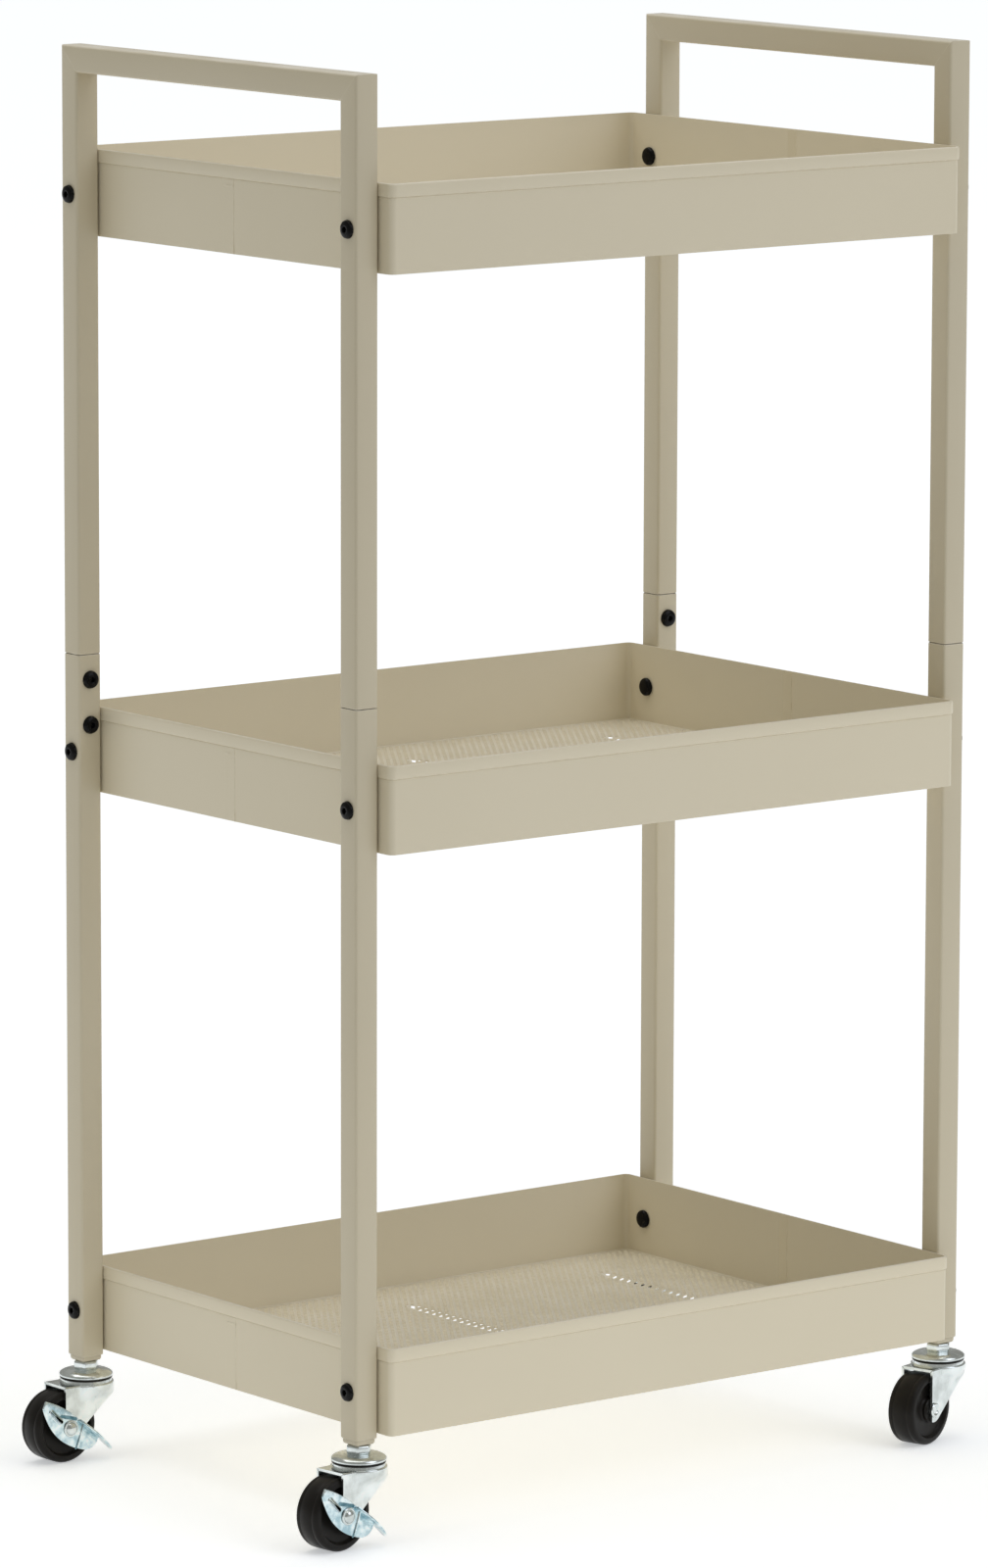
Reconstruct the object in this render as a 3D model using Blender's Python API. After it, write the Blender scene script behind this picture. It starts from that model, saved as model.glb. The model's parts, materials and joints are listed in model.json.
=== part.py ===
"""Three-tier service cart: two tube handle frames on bolted legs, three steel trays, four swivel casters.

Metres, +Z up. +X runs along the trays, -Y is the front. The origin is the bottom centre of the whole cart.
"""

from math import acos, asin, atan2, cos, hypot, pi, radians, sin, sqrt

import bmesh
import bpy
from mathutils import Matrix, Vector

for old in list(bpy.data.objects):
    bpy.data.objects.remove(old, do_unlink=True)

# Clearance between pieces that touch or run in each other
FIT = 0.0003

# Tube frame
FRAME_WIDTH = 0.420
FRAME_DEPTH = 0.266
HANDLE_RISE = 0.0566
TUBE = 0.0145
TUBE_WALL = 0.0012
TUBE_ROUND = 0.0016
JOINT_ABOVE_TRAY = 0.030
SPIGOT_TAIL = 0.005
SPIGOT_RISE = 0.030
FOOT_TAPER = 0.003
FOOT_INSET = 0.0016
FOOT_BLOCK = 0.012

# Trays: heights of their rims above the floor
TRAY_RIMS = {"top": 0.7254, "middle": 0.4198, "bottom": 0.1073}
TRAY_HEIGHT = 0.0474
TRAY_OVERHANG = 0.0107
TRAY_CORNER = 0.007
SHEET = 0.0008
HEM_HEIGHT = 0.007
HEM_STEP = 0.0007
FLOOR_RISE = 0.003
FLOOR_FILLET = 0.001
GROOVE_SPACING = 0.140
GROOVE_LENGTH = 0.196
GROOVE_WIDTH = 0.009
GROOVE_DEPTH = 0.002
GROOVE_FLANK = 0.0016
# Floor slots, a coarse grid that stands for the fine perforation: their count between two grooves,
# the solid strip along the tray's middle and the solid margin at its long walls
BAY_SLOTS = 5
SLOT_WIDTH = 0.011
SLOT_STRIP = 0.016
SLOT_MARGIN = 0.017

# Button-head screws and cap nuts
SCREW_RADIUS = 0.0025
HEAD_RADIUS = 0.0045
HEAD_HEIGHT = 0.0026
SOCKET_FLATS = 0.0032
SOCKET_DEPTH = 0.0014
TRAY_SCREW_DROP = 0.024
JOINT_SCREW_DROPS = {"upper": 0.014, "lower": 0.039}
JOINT_SCREW_REACH = 0.0045
NUT_FLATS = 0.0085
NUT_HEX_HEIGHT = 0.0042
NUT_DOME_HEIGHT = 0.0028
NUT_BORE_DEPTH = 0.0050

# Casters, measured from the floor up
WHEEL_RADIUS = 0.020
WHEEL_WIDTH = 0.0168
WHEEL_SHOULDER = 0.0026
WHEEL_RIM = 0.0045
WHEEL_DISHING = 0.002
HUB_RADIUS = 0.0066
WHEEL_SIDE_GAP = 0.0005
WHEEL_HEADROOM = 0.0016
FORK_SHEET = 0.0014
FORK_RING = 0.0155
FORK_SKIRT = 0.0004
FORK_FLARE = 0.0085
FORK_TIP = 0.0068
FORK_NOSE = 0.002
RACE_HEIGHT = 0.0014
RACE_LEDGE = 0.0011
RACE_GAP = 0.0013
TRAIL = 0.019
DISH_RADIUS = 0.015
DISH_RIM = 0.0012
DISH_DOME = 0.0030
HEX_FLATS = 0.013
HEX_HEIGHT = 0.0044
STEM_RADIUS = 0.004
STEM_REACH = 0.013
BOSS_RADIUS = 0.009
PEEN_RADIUS = 0.0062
PEEN_HEIGHT = 0.0012
AXLE_RADIUS = 0.0025
AXLE_FLARE = 0.0041
AXLE_FLARE_HEIGHT = 0.0010
RIVET_RADIUS = 0.0047
RIVET_HEIGHT = 0.0026

# Brake lever: stations of its outline from the axle, along the trail (+ towards the stem) and up
LEVER_SHEET = 0.0012
LEVER_TIP = (-0.0164, 0.0175)
LEVER_HEEL = (-0.0182, 0.0135)
LEVER_BELLY = (-0.0135, -0.0080)
LEVER_TOE = (0.0098, -0.0134)
LEVER_BROW = (-0.0045, 0.0135)
LEVER_HEM = (0.0180, -0.0098)
PEDAL_TOP = (0.0055, 0.0050)
PEDAL_TIP = (0.0270, -0.0145)
PEDAL_SHARE = 0.62
PEDAL_ROOT = 0.0020
PEDAL_WIDTH = 0.0095
PEDAL_END = 0.0022
RIB_ENDS = ((-0.0128, 0.0106), (-0.0069, 0.0049))
RIB_RADIUS = 0.0018
RIB_HEIGHT = 0.0006

# Where each caster points: the turn of its fork about the stem, from a wheel that trails along -X
CASTER_TURNS = {"front_left": 6.5, "front_right": 16.0, "back_left": 0.5, "back_right": 4.0}
BRAKED = ("front_left", "back_left")

# Corner counts of the turned and rounded shapes
SCREW_SIDES = 12
STEM_SIDES = 12
WHEEL_SIDES = 18
TUBE_STEPS = 2
TRAY_STEPS = 2
DRILL_SIDES = 6
GROOVE_STEPS = 2
FORK_STEPS = 10
TIP_STEPS = 5
LEVER_STEPS = 6
RIB_STEPS = 4
DOME_RINGS = 2
# How far the middle of a quarter circle lies from its tangents, as a share of its radius
ARC_MIDDLE = 1 - cos(pi / 4)

# Heights and half sizes that follow from the values above
PLATE_TOP = 2 * WHEEL_RADIUS + WHEEL_HEADROOM + FORK_SHEET
FORK_TOP = PLATE_TOP + RACE_HEIGHT
DISH_BOTTOM = FORK_TOP + RACE_GAP
HEX_BOTTOM = DISH_BOTTOM + DISH_RIM + DISH_DOME
HEX_TOP = HEX_BOTTOM + HEX_HEIGHT
FOOT_BOTTOM = HEX_TOP + FIT
LEG_BOTTOM = FOOT_BOTTOM + FOOT_TAPER
CART_HEIGHT = TRAY_RIMS["top"] + HANDLE_RISE
JOINT_Z = TRAY_RIMS["middle"] + JOINT_ABOVE_TRAY
BORE = TUBE - 2 * TUBE_WALL
SPIGOT = BORE - 2 * FIT
SPIGOT_BORE = SPIGOT - 2 * TUBE_WALL
SPIGOT_BOTTOM = JOINT_Z - JOINT_SCREW_DROPS["lower"] - SPIGOT_TAIL
LEG_X = (FRAME_WIDTH - TUBE) / 2
LEG_Y = (FRAME_DEPTH - TUBE) / 2
TRAY_HALF_X = FRAME_WIDTH / 2 - TUBE - FIT
TRAY_HALF_Y = FRAME_DEPTH / 2 + TRAY_OVERHANG
WALL_INNER = HEM_STEP + SHEET
HALF_WHEEL = WHEEL_WIDTH / 2
CHEEK_INNER = HALF_WHEEL + WHEEL_SIDE_GAP
CHEEK_OUTER = CHEEK_INNER + FORK_SHEET
LEVER_INNER = CHEEK_OUTER + FIT
LEVER_OUTER = LEVER_INNER + LEVER_SHEET
SIDES = {"left": -1, "right": 1}
ENDS = {"front": -1, "back": 1}


def material(name, colour, roughness, metallic):
    made = bpy.data.materials.new(name)
    made.use_nodes = True
    shader = made.node_tree.nodes["Principled BSDF"]
    shader.inputs["Base Color"].default_value = (*colour, 1.0)
    shader.inputs["Roughness"].default_value = roughness
    shader.inputs["Metallic"].default_value = metallic
    return made


PAINT = material("beige_powder_coat", (0.56, 0.52, 0.42), 0.5, 0.0)
BLACK = material("black_oxide", (0.012, 0.012, 0.013), 0.35, 0.6)
ZINC = material("zinc_plate", (0.62, 0.66, 0.66), 0.28, 1.0)
PLASTIC = material("black_plastic", (0.015, 0.014, 0.013), 0.45, 0.0)


def circle(radius, sides):
    return [(radius * cos(2 * pi * k / sides), radius * sin(2 * pi * k / sides)) for k in range(sides)]


def hexagon(flats, sides):
    """A hexagon with as many points as the circles it is lofted to, some of them along its flats."""
    points = []
    for k in range(sides):
        angle = 2 * pi * k / sides
        off_flat = (angle % (pi / 3)) - pi / 6
        reach = flats / 2 / cos(off_flat)
        points.append((reach * cos(angle), reach * sin(angle)))
    return points


def rounded_box(half_x, half_y, radius, steps):
    """A rectangle with arcs at its corners."""
    points = []
    for quarter, (side_x, side_y) in enumerate(((1, 1), (-1, 1), (-1, -1), (1, -1))):
        for k in range(steps + 1):
            angle = pi / 2 * (quarter + k / steps)
            x = side_x * (half_x - radius) + radius * cos(angle)
            y = side_y * (half_y - radius) + radius * sin(angle)
            points.append((x, y))
    return points


def stadium(half_length, radius, steps):
    """A slot outline along Y with round ends."""
    points = []
    for end, start in ((1, 0.0), (-1, pi)):
        for k in range(steps + 1):
            angle = start + pi * k / steps
            points.append((radius * cos(angle), end * (half_length - radius) + radius * sin(angle)))
    return points


def curve(start, middle, end, steps):
    """A quadratic curve from start to end, drawn towards middle, without its last point."""
    points = []
    for k in range(steps):
        t = k / steps
        weights = ((1 - t) ** 2, 2 * t * (1 - t), t * t)
        points.append(tuple(sum(w * p[i] for w, p in zip(weights, (start, middle, end))) for i in (0, 1)))
    return points


def lift(outline, z):
    return [(x, y, z) for x, y in outline]


def dome(foot, top, height, rings):
    """(radius, height) stations of an elliptic dome, from its foot in to the radius of its top."""
    radii = [foot + (top - foot) * k / rings for k in range(rings + 1)]
    return [(radius, height * sqrt(1 - (radius / foot) ** 2)) for radius in radii]


def loft(loops, closed=False, into=None):
    """A skin through loops of equal count, capped at both ends or, if closed, joined from last to first."""
    mesh = into or bmesh.new()
    rings = [[mesh.verts.new(point) for point in loop] for loop in loops]
    pairs = list(zip(rings, rings[1:]))
    if closed:
        pairs.append((rings[-1], rings[0]))
    faces = []
    for low, high in pairs:
        for k in range(len(low)):
            n = (k + 1) % len(low)
            faces.append(mesh.faces.new((low[k], low[n], high[n], high[k])))
    if not closed:
        faces.append(mesh.faces.new(rings[0][::-1]))
        faces.append(mesh.faces.new(rings[-1]))
    bmesh.ops.recalc_face_normals(mesh, faces=faces)
    return mesh


def turned(profile, sides, closed=False):
    """A lathe shape about Z from (radius, height) stations."""
    return loft([lift(circle(radius, sides), z) for radius, z in profile], closed)


def drill(start, end, radius, into):
    """A bar between two points whose flats stand a full radius from its axis, to cut a hole with."""
    start, end = Vector(start), Vector(end)
    turn = (end - start).to_track_quat("Z", "Y").to_matrix()
    section = circle(radius / cos(pi / DRILL_SIDES), DRILL_SIDES)
    return loft([[base + turn @ Vector((x, y, 0.0)) for x, y in section] for base in (start, end)], into=into)


def piece(name, mesh, finish, parent, place=(0.0, 0.0, 0.0), facing=None):
    """An object from a bmesh or a shared mesh, with its local +Z turned to facing."""
    if isinstance(mesh, bmesh.types.BMesh):
        data = bpy.data.meshes.new(name)
        mesh.to_mesh(data)
        mesh.free()
        data.shade_smooth()
        data.set_sharp_from_angle(angle=radians(35))
        data.materials.append(finish)
    else:
        data = mesh
    made = bpy.data.objects.new(name, data)
    made.location = place
    if facing:
        made.rotation_euler = Vector(facing).to_track_quat("Z", "Y").to_euler()
    made.parent = parent
    bpy.context.collection.objects.link(made)
    return made


def carve(body, tool, operation="DIFFERENCE"):
    """Cuts a tool out of a bmesh, joins it on or keeps what both share, and gives the result as a bmesh."""
    finished = []
    for mesh in (body, tool):
        data = bpy.data.meshes.new("carve")
        mesh.to_mesh(data)
        mesh.free()
        holder = bpy.data.objects.new("carve", data)
        bpy.context.collection.objects.link(holder)
        finished.append(holder)
    cut = finished[0].modifiers.new("carve", "BOOLEAN")
    cut.operation = operation
    cut.solver = "EXACT"
    cut.object = finished[1]
    bpy.context.view_layer.update()
    depsgraph = bpy.context.evaluated_depsgraph_get()
    shaped = bmesh.new()
    shaped.from_mesh(finished[0].evaluated_get(depsgraph).data)
    for holder in finished:
        data = holder.data
        bpy.data.objects.remove(holder)
        bpy.data.meshes.remove(data)
    bmesh.ops.dissolve_degenerate(shaped, dist=1e-6, edges=shaped.edges)
    return shaped


def empty(name, parent, place):
    made = bpy.data.objects.new(name, None)
    made.location = place
    made.parent = parent
    bpy.context.collection.objects.link(made)
    return made


def tray_screw_z(tier):
    return TRAY_RIMS[tier] - TRAY_SCREW_DROP


def drill_tray_holes(mesh, side, end, tiers):
    """Clearance holes right through a tube for the tray screws of some tiers."""
    for tier in tiers:
        z = tray_screw_z(tier)
        y = end * LEG_Y
        drill((side * (LEG_X - TUBE), y, z), (side * (LEG_X + TUBE), y, z), SCREW_RADIUS + FIT, mesh)
    return mesh


def drill_joint_holes(mesh, side, end):
    """Holes through the inward wall of a leg, and of the spigot inside it, for the joint screws."""
    for drop in JOINT_SCREW_DROPS.values():
        z = JOINT_Z - drop
        x = side * LEG_X
        drill((x, end * LEG_Y, z), (x, end * (LEG_Y - TUBE), z), SCREW_RADIUS + FIT, mesh)
    return mesh


def tube_outline(size, corner):
    return rounded_box(size / 2, size / 2, corner, TUBE_STEPS)


def handle_frame(side):
    """A U of square tube with mitred corners, and in each foot a smaller tube that plugs into the leg."""
    x = side * LEG_X
    bar_z = CART_HEIGHT - TUBE / 2
    wall_corner = TUBE_ROUND - TUBE_WALL
    skin = tube_outline(TUBE, TUBE_ROUND)
    bore = tube_outline(BORE, wall_corner)
    plug = tube_outline(SPIGOT, wall_corner)
    plug_bore = tube_outline(SPIGOT_BORE, wall_corner / 2)
    plug_top = JOINT_Z + SPIGOT_RISE

    def foot(outline, end, z):
        return [(x + u, end * (LEG_Y + v), z) for u, v in outline]

    def mitre(outline, end):
        return [(x + u, end * (LEG_Y + v), bar_z + v) for u, v in outline]

    outside = [foot(plug, -1, SPIGOT_BOTTOM), foot(plug, -1, JOINT_Z), foot(skin, -1, JOINT_Z),
               mitre(skin, -1), mitre(skin, 1), foot(skin, 1, JOINT_Z), foot(plug, 1, JOINT_Z),
               foot(plug, 1, SPIGOT_BOTTOM)]
    inside = [foot(plug_bore, 1, SPIGOT_BOTTOM), foot(plug_bore, 1, plug_top), foot(bore, 1, plug_top),
              mitre(bore, 1), mitre(bore, -1), foot(bore, -1, plug_top), foot(plug_bore, -1, plug_top),
              foot(plug_bore, -1, SPIGOT_BOTTOM)]
    drills = bmesh.new()
    for end in ENDS.values():
        drill_tray_holes(drills, side, end, ("top",))
        drill_joint_holes(drills, side, end)
    return carve(loft(outside + inside, closed=True), drills)


def leg(side, end):
    """A square tube, open at the top for the spigot, with a tapered block at its foot for the caster stem."""
    wall_corner = TUBE_ROUND - TUBE_WALL
    skin = tube_outline(TUBE, TUBE_ROUND)
    foot = tube_outline(TUBE - 2 * FOOT_INSET, TUBE_ROUND)
    bore = tube_outline(BORE, wall_corner)
    # The round hole has the tube's count of points and starts at the middle of the first corner's arc
    count = len(skin)
    turn = atan2(skin[1][1], skin[1][0]) - 2 * pi / count
    hole = [(cos(a) * (STEM_RADIUS + FIT), sin(a) * (STEM_RADIUS + FIT))
            for a in (turn + 2 * pi * k / count for k in range(count))]
    top = JOINT_Z - FIT
    block_top = LEG_BOTTOM + FOOT_BLOCK
    loops = [lift(foot, FOOT_BOTTOM), lift(skin, LEG_BOTTOM), lift(skin, top), lift(bore, top),
             lift(bore, block_top), lift(hole, block_top), lift(hole, FOOT_BOTTOM)]
    mesh = loft(loops, closed=True)
    bmesh.ops.translate(mesh, verts=mesh.verts, vec=(side * LEG_X, end * LEG_Y, 0.0))
    drills = drill_tray_holes(bmesh.new(), side, end, ("middle", "bottom"))
    return carve(mesh, drill_joint_holes(drills, side, end))


def tray():
    """A sheet-metal tray about its rim height: hemmed wall, floor with pressed grooves and slots, holes."""
    floor_top = FLOOR_RISE - TRAY_HEIGHT
    floor_under = floor_top - SHEET
    hem_round = SHEET / 2

    def wall(inset, z):
        corner = TRAY_CORNER - min(inset, WALL_INNER)
        return lift(rounded_box(TRAY_HALF_X - inset, TRAY_HALF_Y - inset, corner, TRAY_STEPS), z)

    stations = [(WALL_INNER, floor_under), (WALL_INNER, -TRAY_HEIGHT), (HEM_STEP, -TRAY_HEIGHT),
                (HEM_STEP, -HEM_HEIGHT), (0.0, -HEM_HEIGHT + hem_round), (0.0, -hem_round),
                (hem_round, 0.0), (WALL_INNER - hem_round, 0.0), (WALL_INNER, -hem_round),
                (WALL_INNER, floor_top + FLOOR_FILLET), (WALL_INNER + FLOOR_FILLET, floor_top)]
    mesh = loft([wall(inset, z) for inset, z in stations])

    under = bmesh.new()
    hollow = bmesh.new()
    for k in (-1, 0, 1):
        for skin, grown, top in ((under, SHEET, floor_under + SHEET / 2), (hollow, 0.0, floor_top + SHEET)):
            bottom = floor_top - GROOVE_DEPTH - grown
            half_length, half_width = GROOVE_LENGTH / 2 + grown, GROOVE_WIDTH / 2 + grown
            wide = stadium(half_length, half_width, GROOVE_STEPS)
            deep = stadium(half_length - GROOVE_FLANK, half_width - GROOVE_FLANK, GROOVE_STEPS)
            start = floor_top if skin is hollow else floor_under
            loops = [lift(wide, top), lift(wide, start), lift(deep, bottom)]
            loft([[(x + k * GROOVE_SPACING, y, z) for x, y, z in loop] for loop in loops], into=skin)
    mesh = carve(mesh, under, "UNION")
    columns = [GROOVE_SPACING * k / (BAY_SLOTS + 1) for k in range(1, BAY_SLOTS + 1)]
    columns.append((GROOVE_SPACING + TRAY_HALF_X) / 2)
    near, far = SLOT_STRIP / 2, TRAY_HALF_Y - SLOT_MARGIN
    for side in SIDES.values():
        for end in ENDS.values():
            for column in columns:
                low, high = column - SLOT_WIDTH / 2, column + SLOT_WIDTH / 2
                slot = [(side * x, end * y) for x, y in ((low, near), (high, near), (high, far), (low, far))]
                loft([lift(slot, z) for z in (floor_under - SHEET, floor_top + SHEET)], into=hollow)
            x = side * TRAY_HALF_X
            start = (x - side * TUBE / 2, end * LEG_Y, -TRAY_SCREW_DROP)
            drill(start, (x + side * TUBE / 2, end * LEG_Y, -TRAY_SCREW_DROP), SCREW_RADIUS + FIT, hollow)
    return carve(mesh, hollow)


def button_screw(reach):
    """A button-head screw with a hexagon socket: z 0 is under the head, the shank runs down."""
    sides = SCREW_SIDES
    head = dome(HEAD_RADIUS, SOCKET_FLATS / 2, HEAD_HEIGHT, DOME_RINGS)
    socket_z = head.pop()[1]
    loops = [lift(circle(SCREW_RADIUS, sides), -reach), lift(circle(SCREW_RADIUS, sides), 0.0)]
    loops += [lift(circle(radius, sides), z) for radius, z in head]
    loops += [lift(hexagon(SOCKET_FLATS, sides), z) for z in (socket_z, socket_z - SOCKET_DEPTH)]
    return loft(loops)


def cap_nut():
    """A domed nut, blind inside: z 0 is its seat."""
    sides = SCREW_SIDES
    hole = circle(SCREW_RADIUS + FIT, sides)
    crown, rise = dome(NUT_FLATS / 2, SCREW_RADIUS, NUT_DOME_HEIGHT, 1).pop()
    loops = [lift(hole, NUT_BORE_DEPTH), lift(hole, 0.0), lift(hexagon(NUT_FLATS, sides), 0.0),
             lift(hexagon(NUT_FLATS, sides), NUT_HEX_HEIGHT),
             lift(circle(crown, sides), NUT_HEX_HEIGHT + rise)]
    return loft(loops)


def caster_stem():
    """Stem, spanner hexagon, domed dish and the kingpin that is peened under the fork, turned as one."""
    sides = STEM_SIDES
    pin = STEM_RADIUS
    pin_bottom = PLATE_TOP - FORK_SHEET - FIT
    boss_bottom = FORK_TOP + FIT
    rim_z = DISH_BOTTOM + DISH_RIM
    dish = [(radius, rim_z + z) for radius, z in dome(DISH_RADIUS, HEX_FLATS / 2, DISH_DOME, DOME_RINGS)]
    hex_bottom = dish.pop()[1]
    round_parts = dish[::-1]
    round_parts += [(DISH_RADIUS, DISH_BOTTOM), (BOSS_RADIUS, DISH_BOTTOM), (BOSS_RADIUS, boss_bottom),
                    (pin, boss_bottom), (pin, pin_bottom), (PEEN_RADIUS, pin_bottom),
                    (PEEN_RADIUS - PEEN_HEIGHT, pin_bottom - PEEN_HEIGHT)]
    stem = circle(STEM_RADIUS, sides)
    spanner = hexagon(HEX_FLATS, sides)
    loops = [lift(stem, HEX_TOP + STEM_REACH), lift(stem, HEX_TOP), lift(spanner, HEX_TOP),
             lift(spanner, hex_bottom)]
    return loft(loops + [lift(circle(radius, sides), z) for radius, z in round_parts])


def fork_plan(ring, half_width, nose, flat):
    """The fork from above: a disc about the stem with a nose over the wheel, or flat-sided below."""
    reach = pi - asin(half_width / ring)
    sweep = [reach * (2 * k / FORK_STEPS - 1) for k in range(FORK_STEPS + 1)]
    points = [(-nose, -half_width)]
    points += [(ring * cos(angle), ring * sin(angle)) for angle in sweep]
    points.append((-nose, half_width))
    if flat:
        points = [(x, max(-half_width, min(half_width, y))) for x, y in points]
    return points


def caster_fork():
    """A stamped fork: ball-race step, round skirt that flares in to two cheeks tapering to the axle."""
    nose = TRAIL + FORK_TIP + FORK_SHEET
    race = FORK_RING - RACE_LEDGE
    plan = fork_plan(FORK_RING, CHEEK_OUTER, nose, False)
    flat = fork_plan(FORK_RING, CHEEK_OUTER, nose, True)
    race_loop = [(race * cos(a), race * sin(a)) for a in (atan2(y, x) for x, y in plan)]
    skirt_bottom = PLATE_TOP - FORK_SHEET - FORK_SKIRT
    flare_bottom = skirt_bottom - FORK_FLARE
    tip_bottom = WHEEL_RADIUS - FORK_TIP
    outer = loft([lift(race_loop, FORK_TOP), lift(race_loop, PLATE_TOP), lift(plan, PLATE_TOP),
                  lift(plan, skirt_bottom), lift(flat, flare_bottom), lift(flat, tip_bottom - FORK_TIP)])

    def tangent(x, z, turn):
        """The angle at which a line from a point touches the round tip at the axle."""
        away = hypot(x + TRAIL, z - WHEEL_RADIUS)
        return atan2(z - WHEEL_RADIUS, x + TRAIL) + turn * acos(FORK_TIP / away)

    front_x = -TRAIL - FORK_NOSE
    back_x = FORK_RING + FORK_SHEET
    first = tangent(front_x, PLATE_TOP, 1)
    last = tangent(back_x, skirt_bottom, -1) + 2 * pi
    sweep = [first + (last - first) * k / TIP_STEPS for k in range(TIP_STEPS + 1)]
    profile = [(front_x, FORK_TOP + FORK_SHEET), (front_x, PLATE_TOP)]
    profile += [(-TRAIL + FORK_TIP * cos(a), WHEEL_RADIUS + FORK_TIP * sin(a)) for a in sweep]
    profile += [(back_x, skirt_bottom), (back_x, FORK_TOP + FORK_SHEET)]
    reach = 2 * FORK_RING
    outline = loft([[(x, y, z) for x, z in profile] for y in (-reach, reach)])
    shaped = carve(outer, outline, "INTERSECT")

    room = FORK_RING - FORK_SHEET
    ceiling = PLATE_TOP - FORK_SHEET
    inner = fork_plan(room, CHEEK_INNER, nose + FORK_RING, False)
    inner_flat = fork_plan(room, CHEEK_INNER, nose + FORK_RING, True)
    hollow = loft([lift(inner, ceiling), lift(inner, skirt_bottom), lift(inner_flat, flare_bottom),
                   lift(inner_flat, tip_bottom - 2 * FORK_TIP)])
    pin_ends = [(0.0, 0.0, z) for z in (ceiling - FORK_SHEET, FORK_TOP + FORK_SHEET)]
    axle_ends = [(-TRAIL, y, WHEEL_RADIUS) for y in (-reach, reach)]
    drills = drill(*pin_ends, STEM_RADIUS + FIT, bmesh.new())
    drill(*axle_ends, AXLE_RADIUS + FIT, drills)
    return carve(carve(shaped, hollow), drills)


def along_axle(mesh):
    """Turns a lathe shape from Z to the axle, local +Y."""
    bmesh.ops.rotate(mesh, verts=mesh.verts, matrix=Matrix.Rotation(-pi / 2, 3, "X"))
    return mesh


def caster_wheel():
    """A plastic wheel with rounded tread shoulders, dished faces and a plain bore."""
    tread = HALF_WHEEL - WHEEL_SHOULDER
    rim = WHEEL_RADIUS - WHEEL_RIM
    web = HALF_WHEEL - WHEEL_DISHING
    cut = ARC_MIDDLE * WHEEL_SHOULDER
    half = [(WHEEL_RADIUS, tread), (WHEEL_RADIUS - cut, HALF_WHEEL - cut),
            (WHEEL_RADIUS - WHEEL_SHOULDER, HALF_WHEEL), (rim, web), (HUB_RADIUS, web),
            (HUB_RADIUS, HALF_WHEEL), (AXLE_RADIUS + FIT, HALF_WHEEL)]
    profile = half + [(radius, -y) for radius, y in reversed(half)]
    # The flats between the corners stand at each radius, so that the wheel rests on a flat
    corner = 1 / cos(pi / WHEEL_SIDES)
    return along_axle(turned([(radius * corner, y) for radius, y in profile], WHEEL_SIDES, closed=True))


def caster_axle(braked):
    """A rivet through both cheeks: flared at the back, in front a dome over the lever or flared too."""
    seat = CHEEK_OUTER + FIT
    flare = [(AXLE_FLARE, seat + AXLE_FLARE_HEIGHT), (AXLE_FLARE, seat), (AXLE_RADIUS, seat)]
    if braked:
        front = -LEVER_OUTER - FIT
        crown = dome(RIVET_RADIUS, AXLE_RADIUS / 2, RIVET_HEIGHT, DOME_RINGS)
        head = [(AXLE_RADIUS, front)] + [(radius, front - rise) for radius, rise in crown]
    else:
        head = [(radius, -y) for radius, y in reversed(flare)]
    return along_axle(turned(flare + head, SCREW_SIDES))


def brake_lever():
    """A pressed side lever about the axle: curved plate, stiffening rib, pedal turned out along its edge."""
    edge = Vector((PEDAL_TIP[0] - PEDAL_TOP[0], 0.0, PEDAL_TIP[1] - PEDAL_TOP[1]))
    length = edge.length
    edge.normalize()
    pedal_top = Vector((PEDAL_TOP[0], 0.0, PEDAL_TOP[1]))
    # The plate runs under the first part of the pedal only
    web_end = pedal_top + edge * PEDAL_SHARE * length
    outline = [LEVER_TIP] + curve(LEVER_HEEL, LEVER_BELLY, LEVER_TOE, LEVER_STEPS)
    outline += [LEVER_TOE, LEVER_HEM, (web_end.x, web_end.z)]
    outline += curve(PEDAL_TOP, LEVER_BROW, LEVER_TIP, LEVER_STEPS)
    plate = loft([[(x, y, z) for x, z in outline] for y in (-LEVER_INNER, -LEVER_OUTER)])

    # The pedal stands square on the plate and starts inside it, a little above the plate's edge
    above = Vector((-edge.z, 0.0, edge.x))
    root = pedal_top + Vector((0.0, -LEVER_INNER - LEVER_SHEET / 2, 0.0)) + above * LEVER_SHEET / 4
    start = LEVER_SHEET
    tab = [(start, 0.0)]
    tab += curve((start, PEDAL_ROOT), (length / 2, PEDAL_WIDTH), (length, PEDAL_END), LEVER_STEPS)
    tab += [(length, PEDAL_END), (length, 0.0)]
    sheet = []
    for sink in (0.0, LEVER_SHEET):
        sheet.append([root + edge * s - Vector((0.0, w, 0.0)) - above * sink for s, w in tab])
    plate = carve(plate, loft(sheet), "UNION")

    rib_from, rib_to = (Vector((x, 0.0, z)) for x, z in RIB_ENDS)
    along = (rib_to - rib_from).normalized()
    across = Vector((-along.z, 0.0, along.x))
    rib = []
    foot_y = -LEVER_INNER - LEVER_SHEET / 2
    for y, shrink in ((foot_y, 0.0), (-LEVER_OUTER, 0.0), (-LEVER_OUTER - RIB_HEIGHT, RIB_HEIGHT)):
        loop = stadium((rib_to - rib_from).length / 2 + RIB_RADIUS - shrink, RIB_RADIUS - shrink, RIB_STEPS)
        middle = (rib_from + rib_to) / 2 + Vector((0.0, y, 0.0))
        rib.append([middle + along * v + across * u for u, v in loop])
    plate = carve(plate, loft(rib), "UNION")
    hole = drill((0.0, 0.0, 0.0), (0.0, -2 * LEVER_OUTER, 0.0), AXLE_RADIUS + FIT, bmesh.new())
    return carve(plate, hole)


cart = empty("cart", None, (0.0, 0.0, 0.0))

for side_name, side in SIDES.items():
    piece(f"handle_frame_{side_name}", handle_frame(side), PAINT, cart)
    for end_name, end in ENDS.items():
        piece(f"leg_{end_name}_{side_name}", leg(side, end), PAINT, cart)

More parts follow.
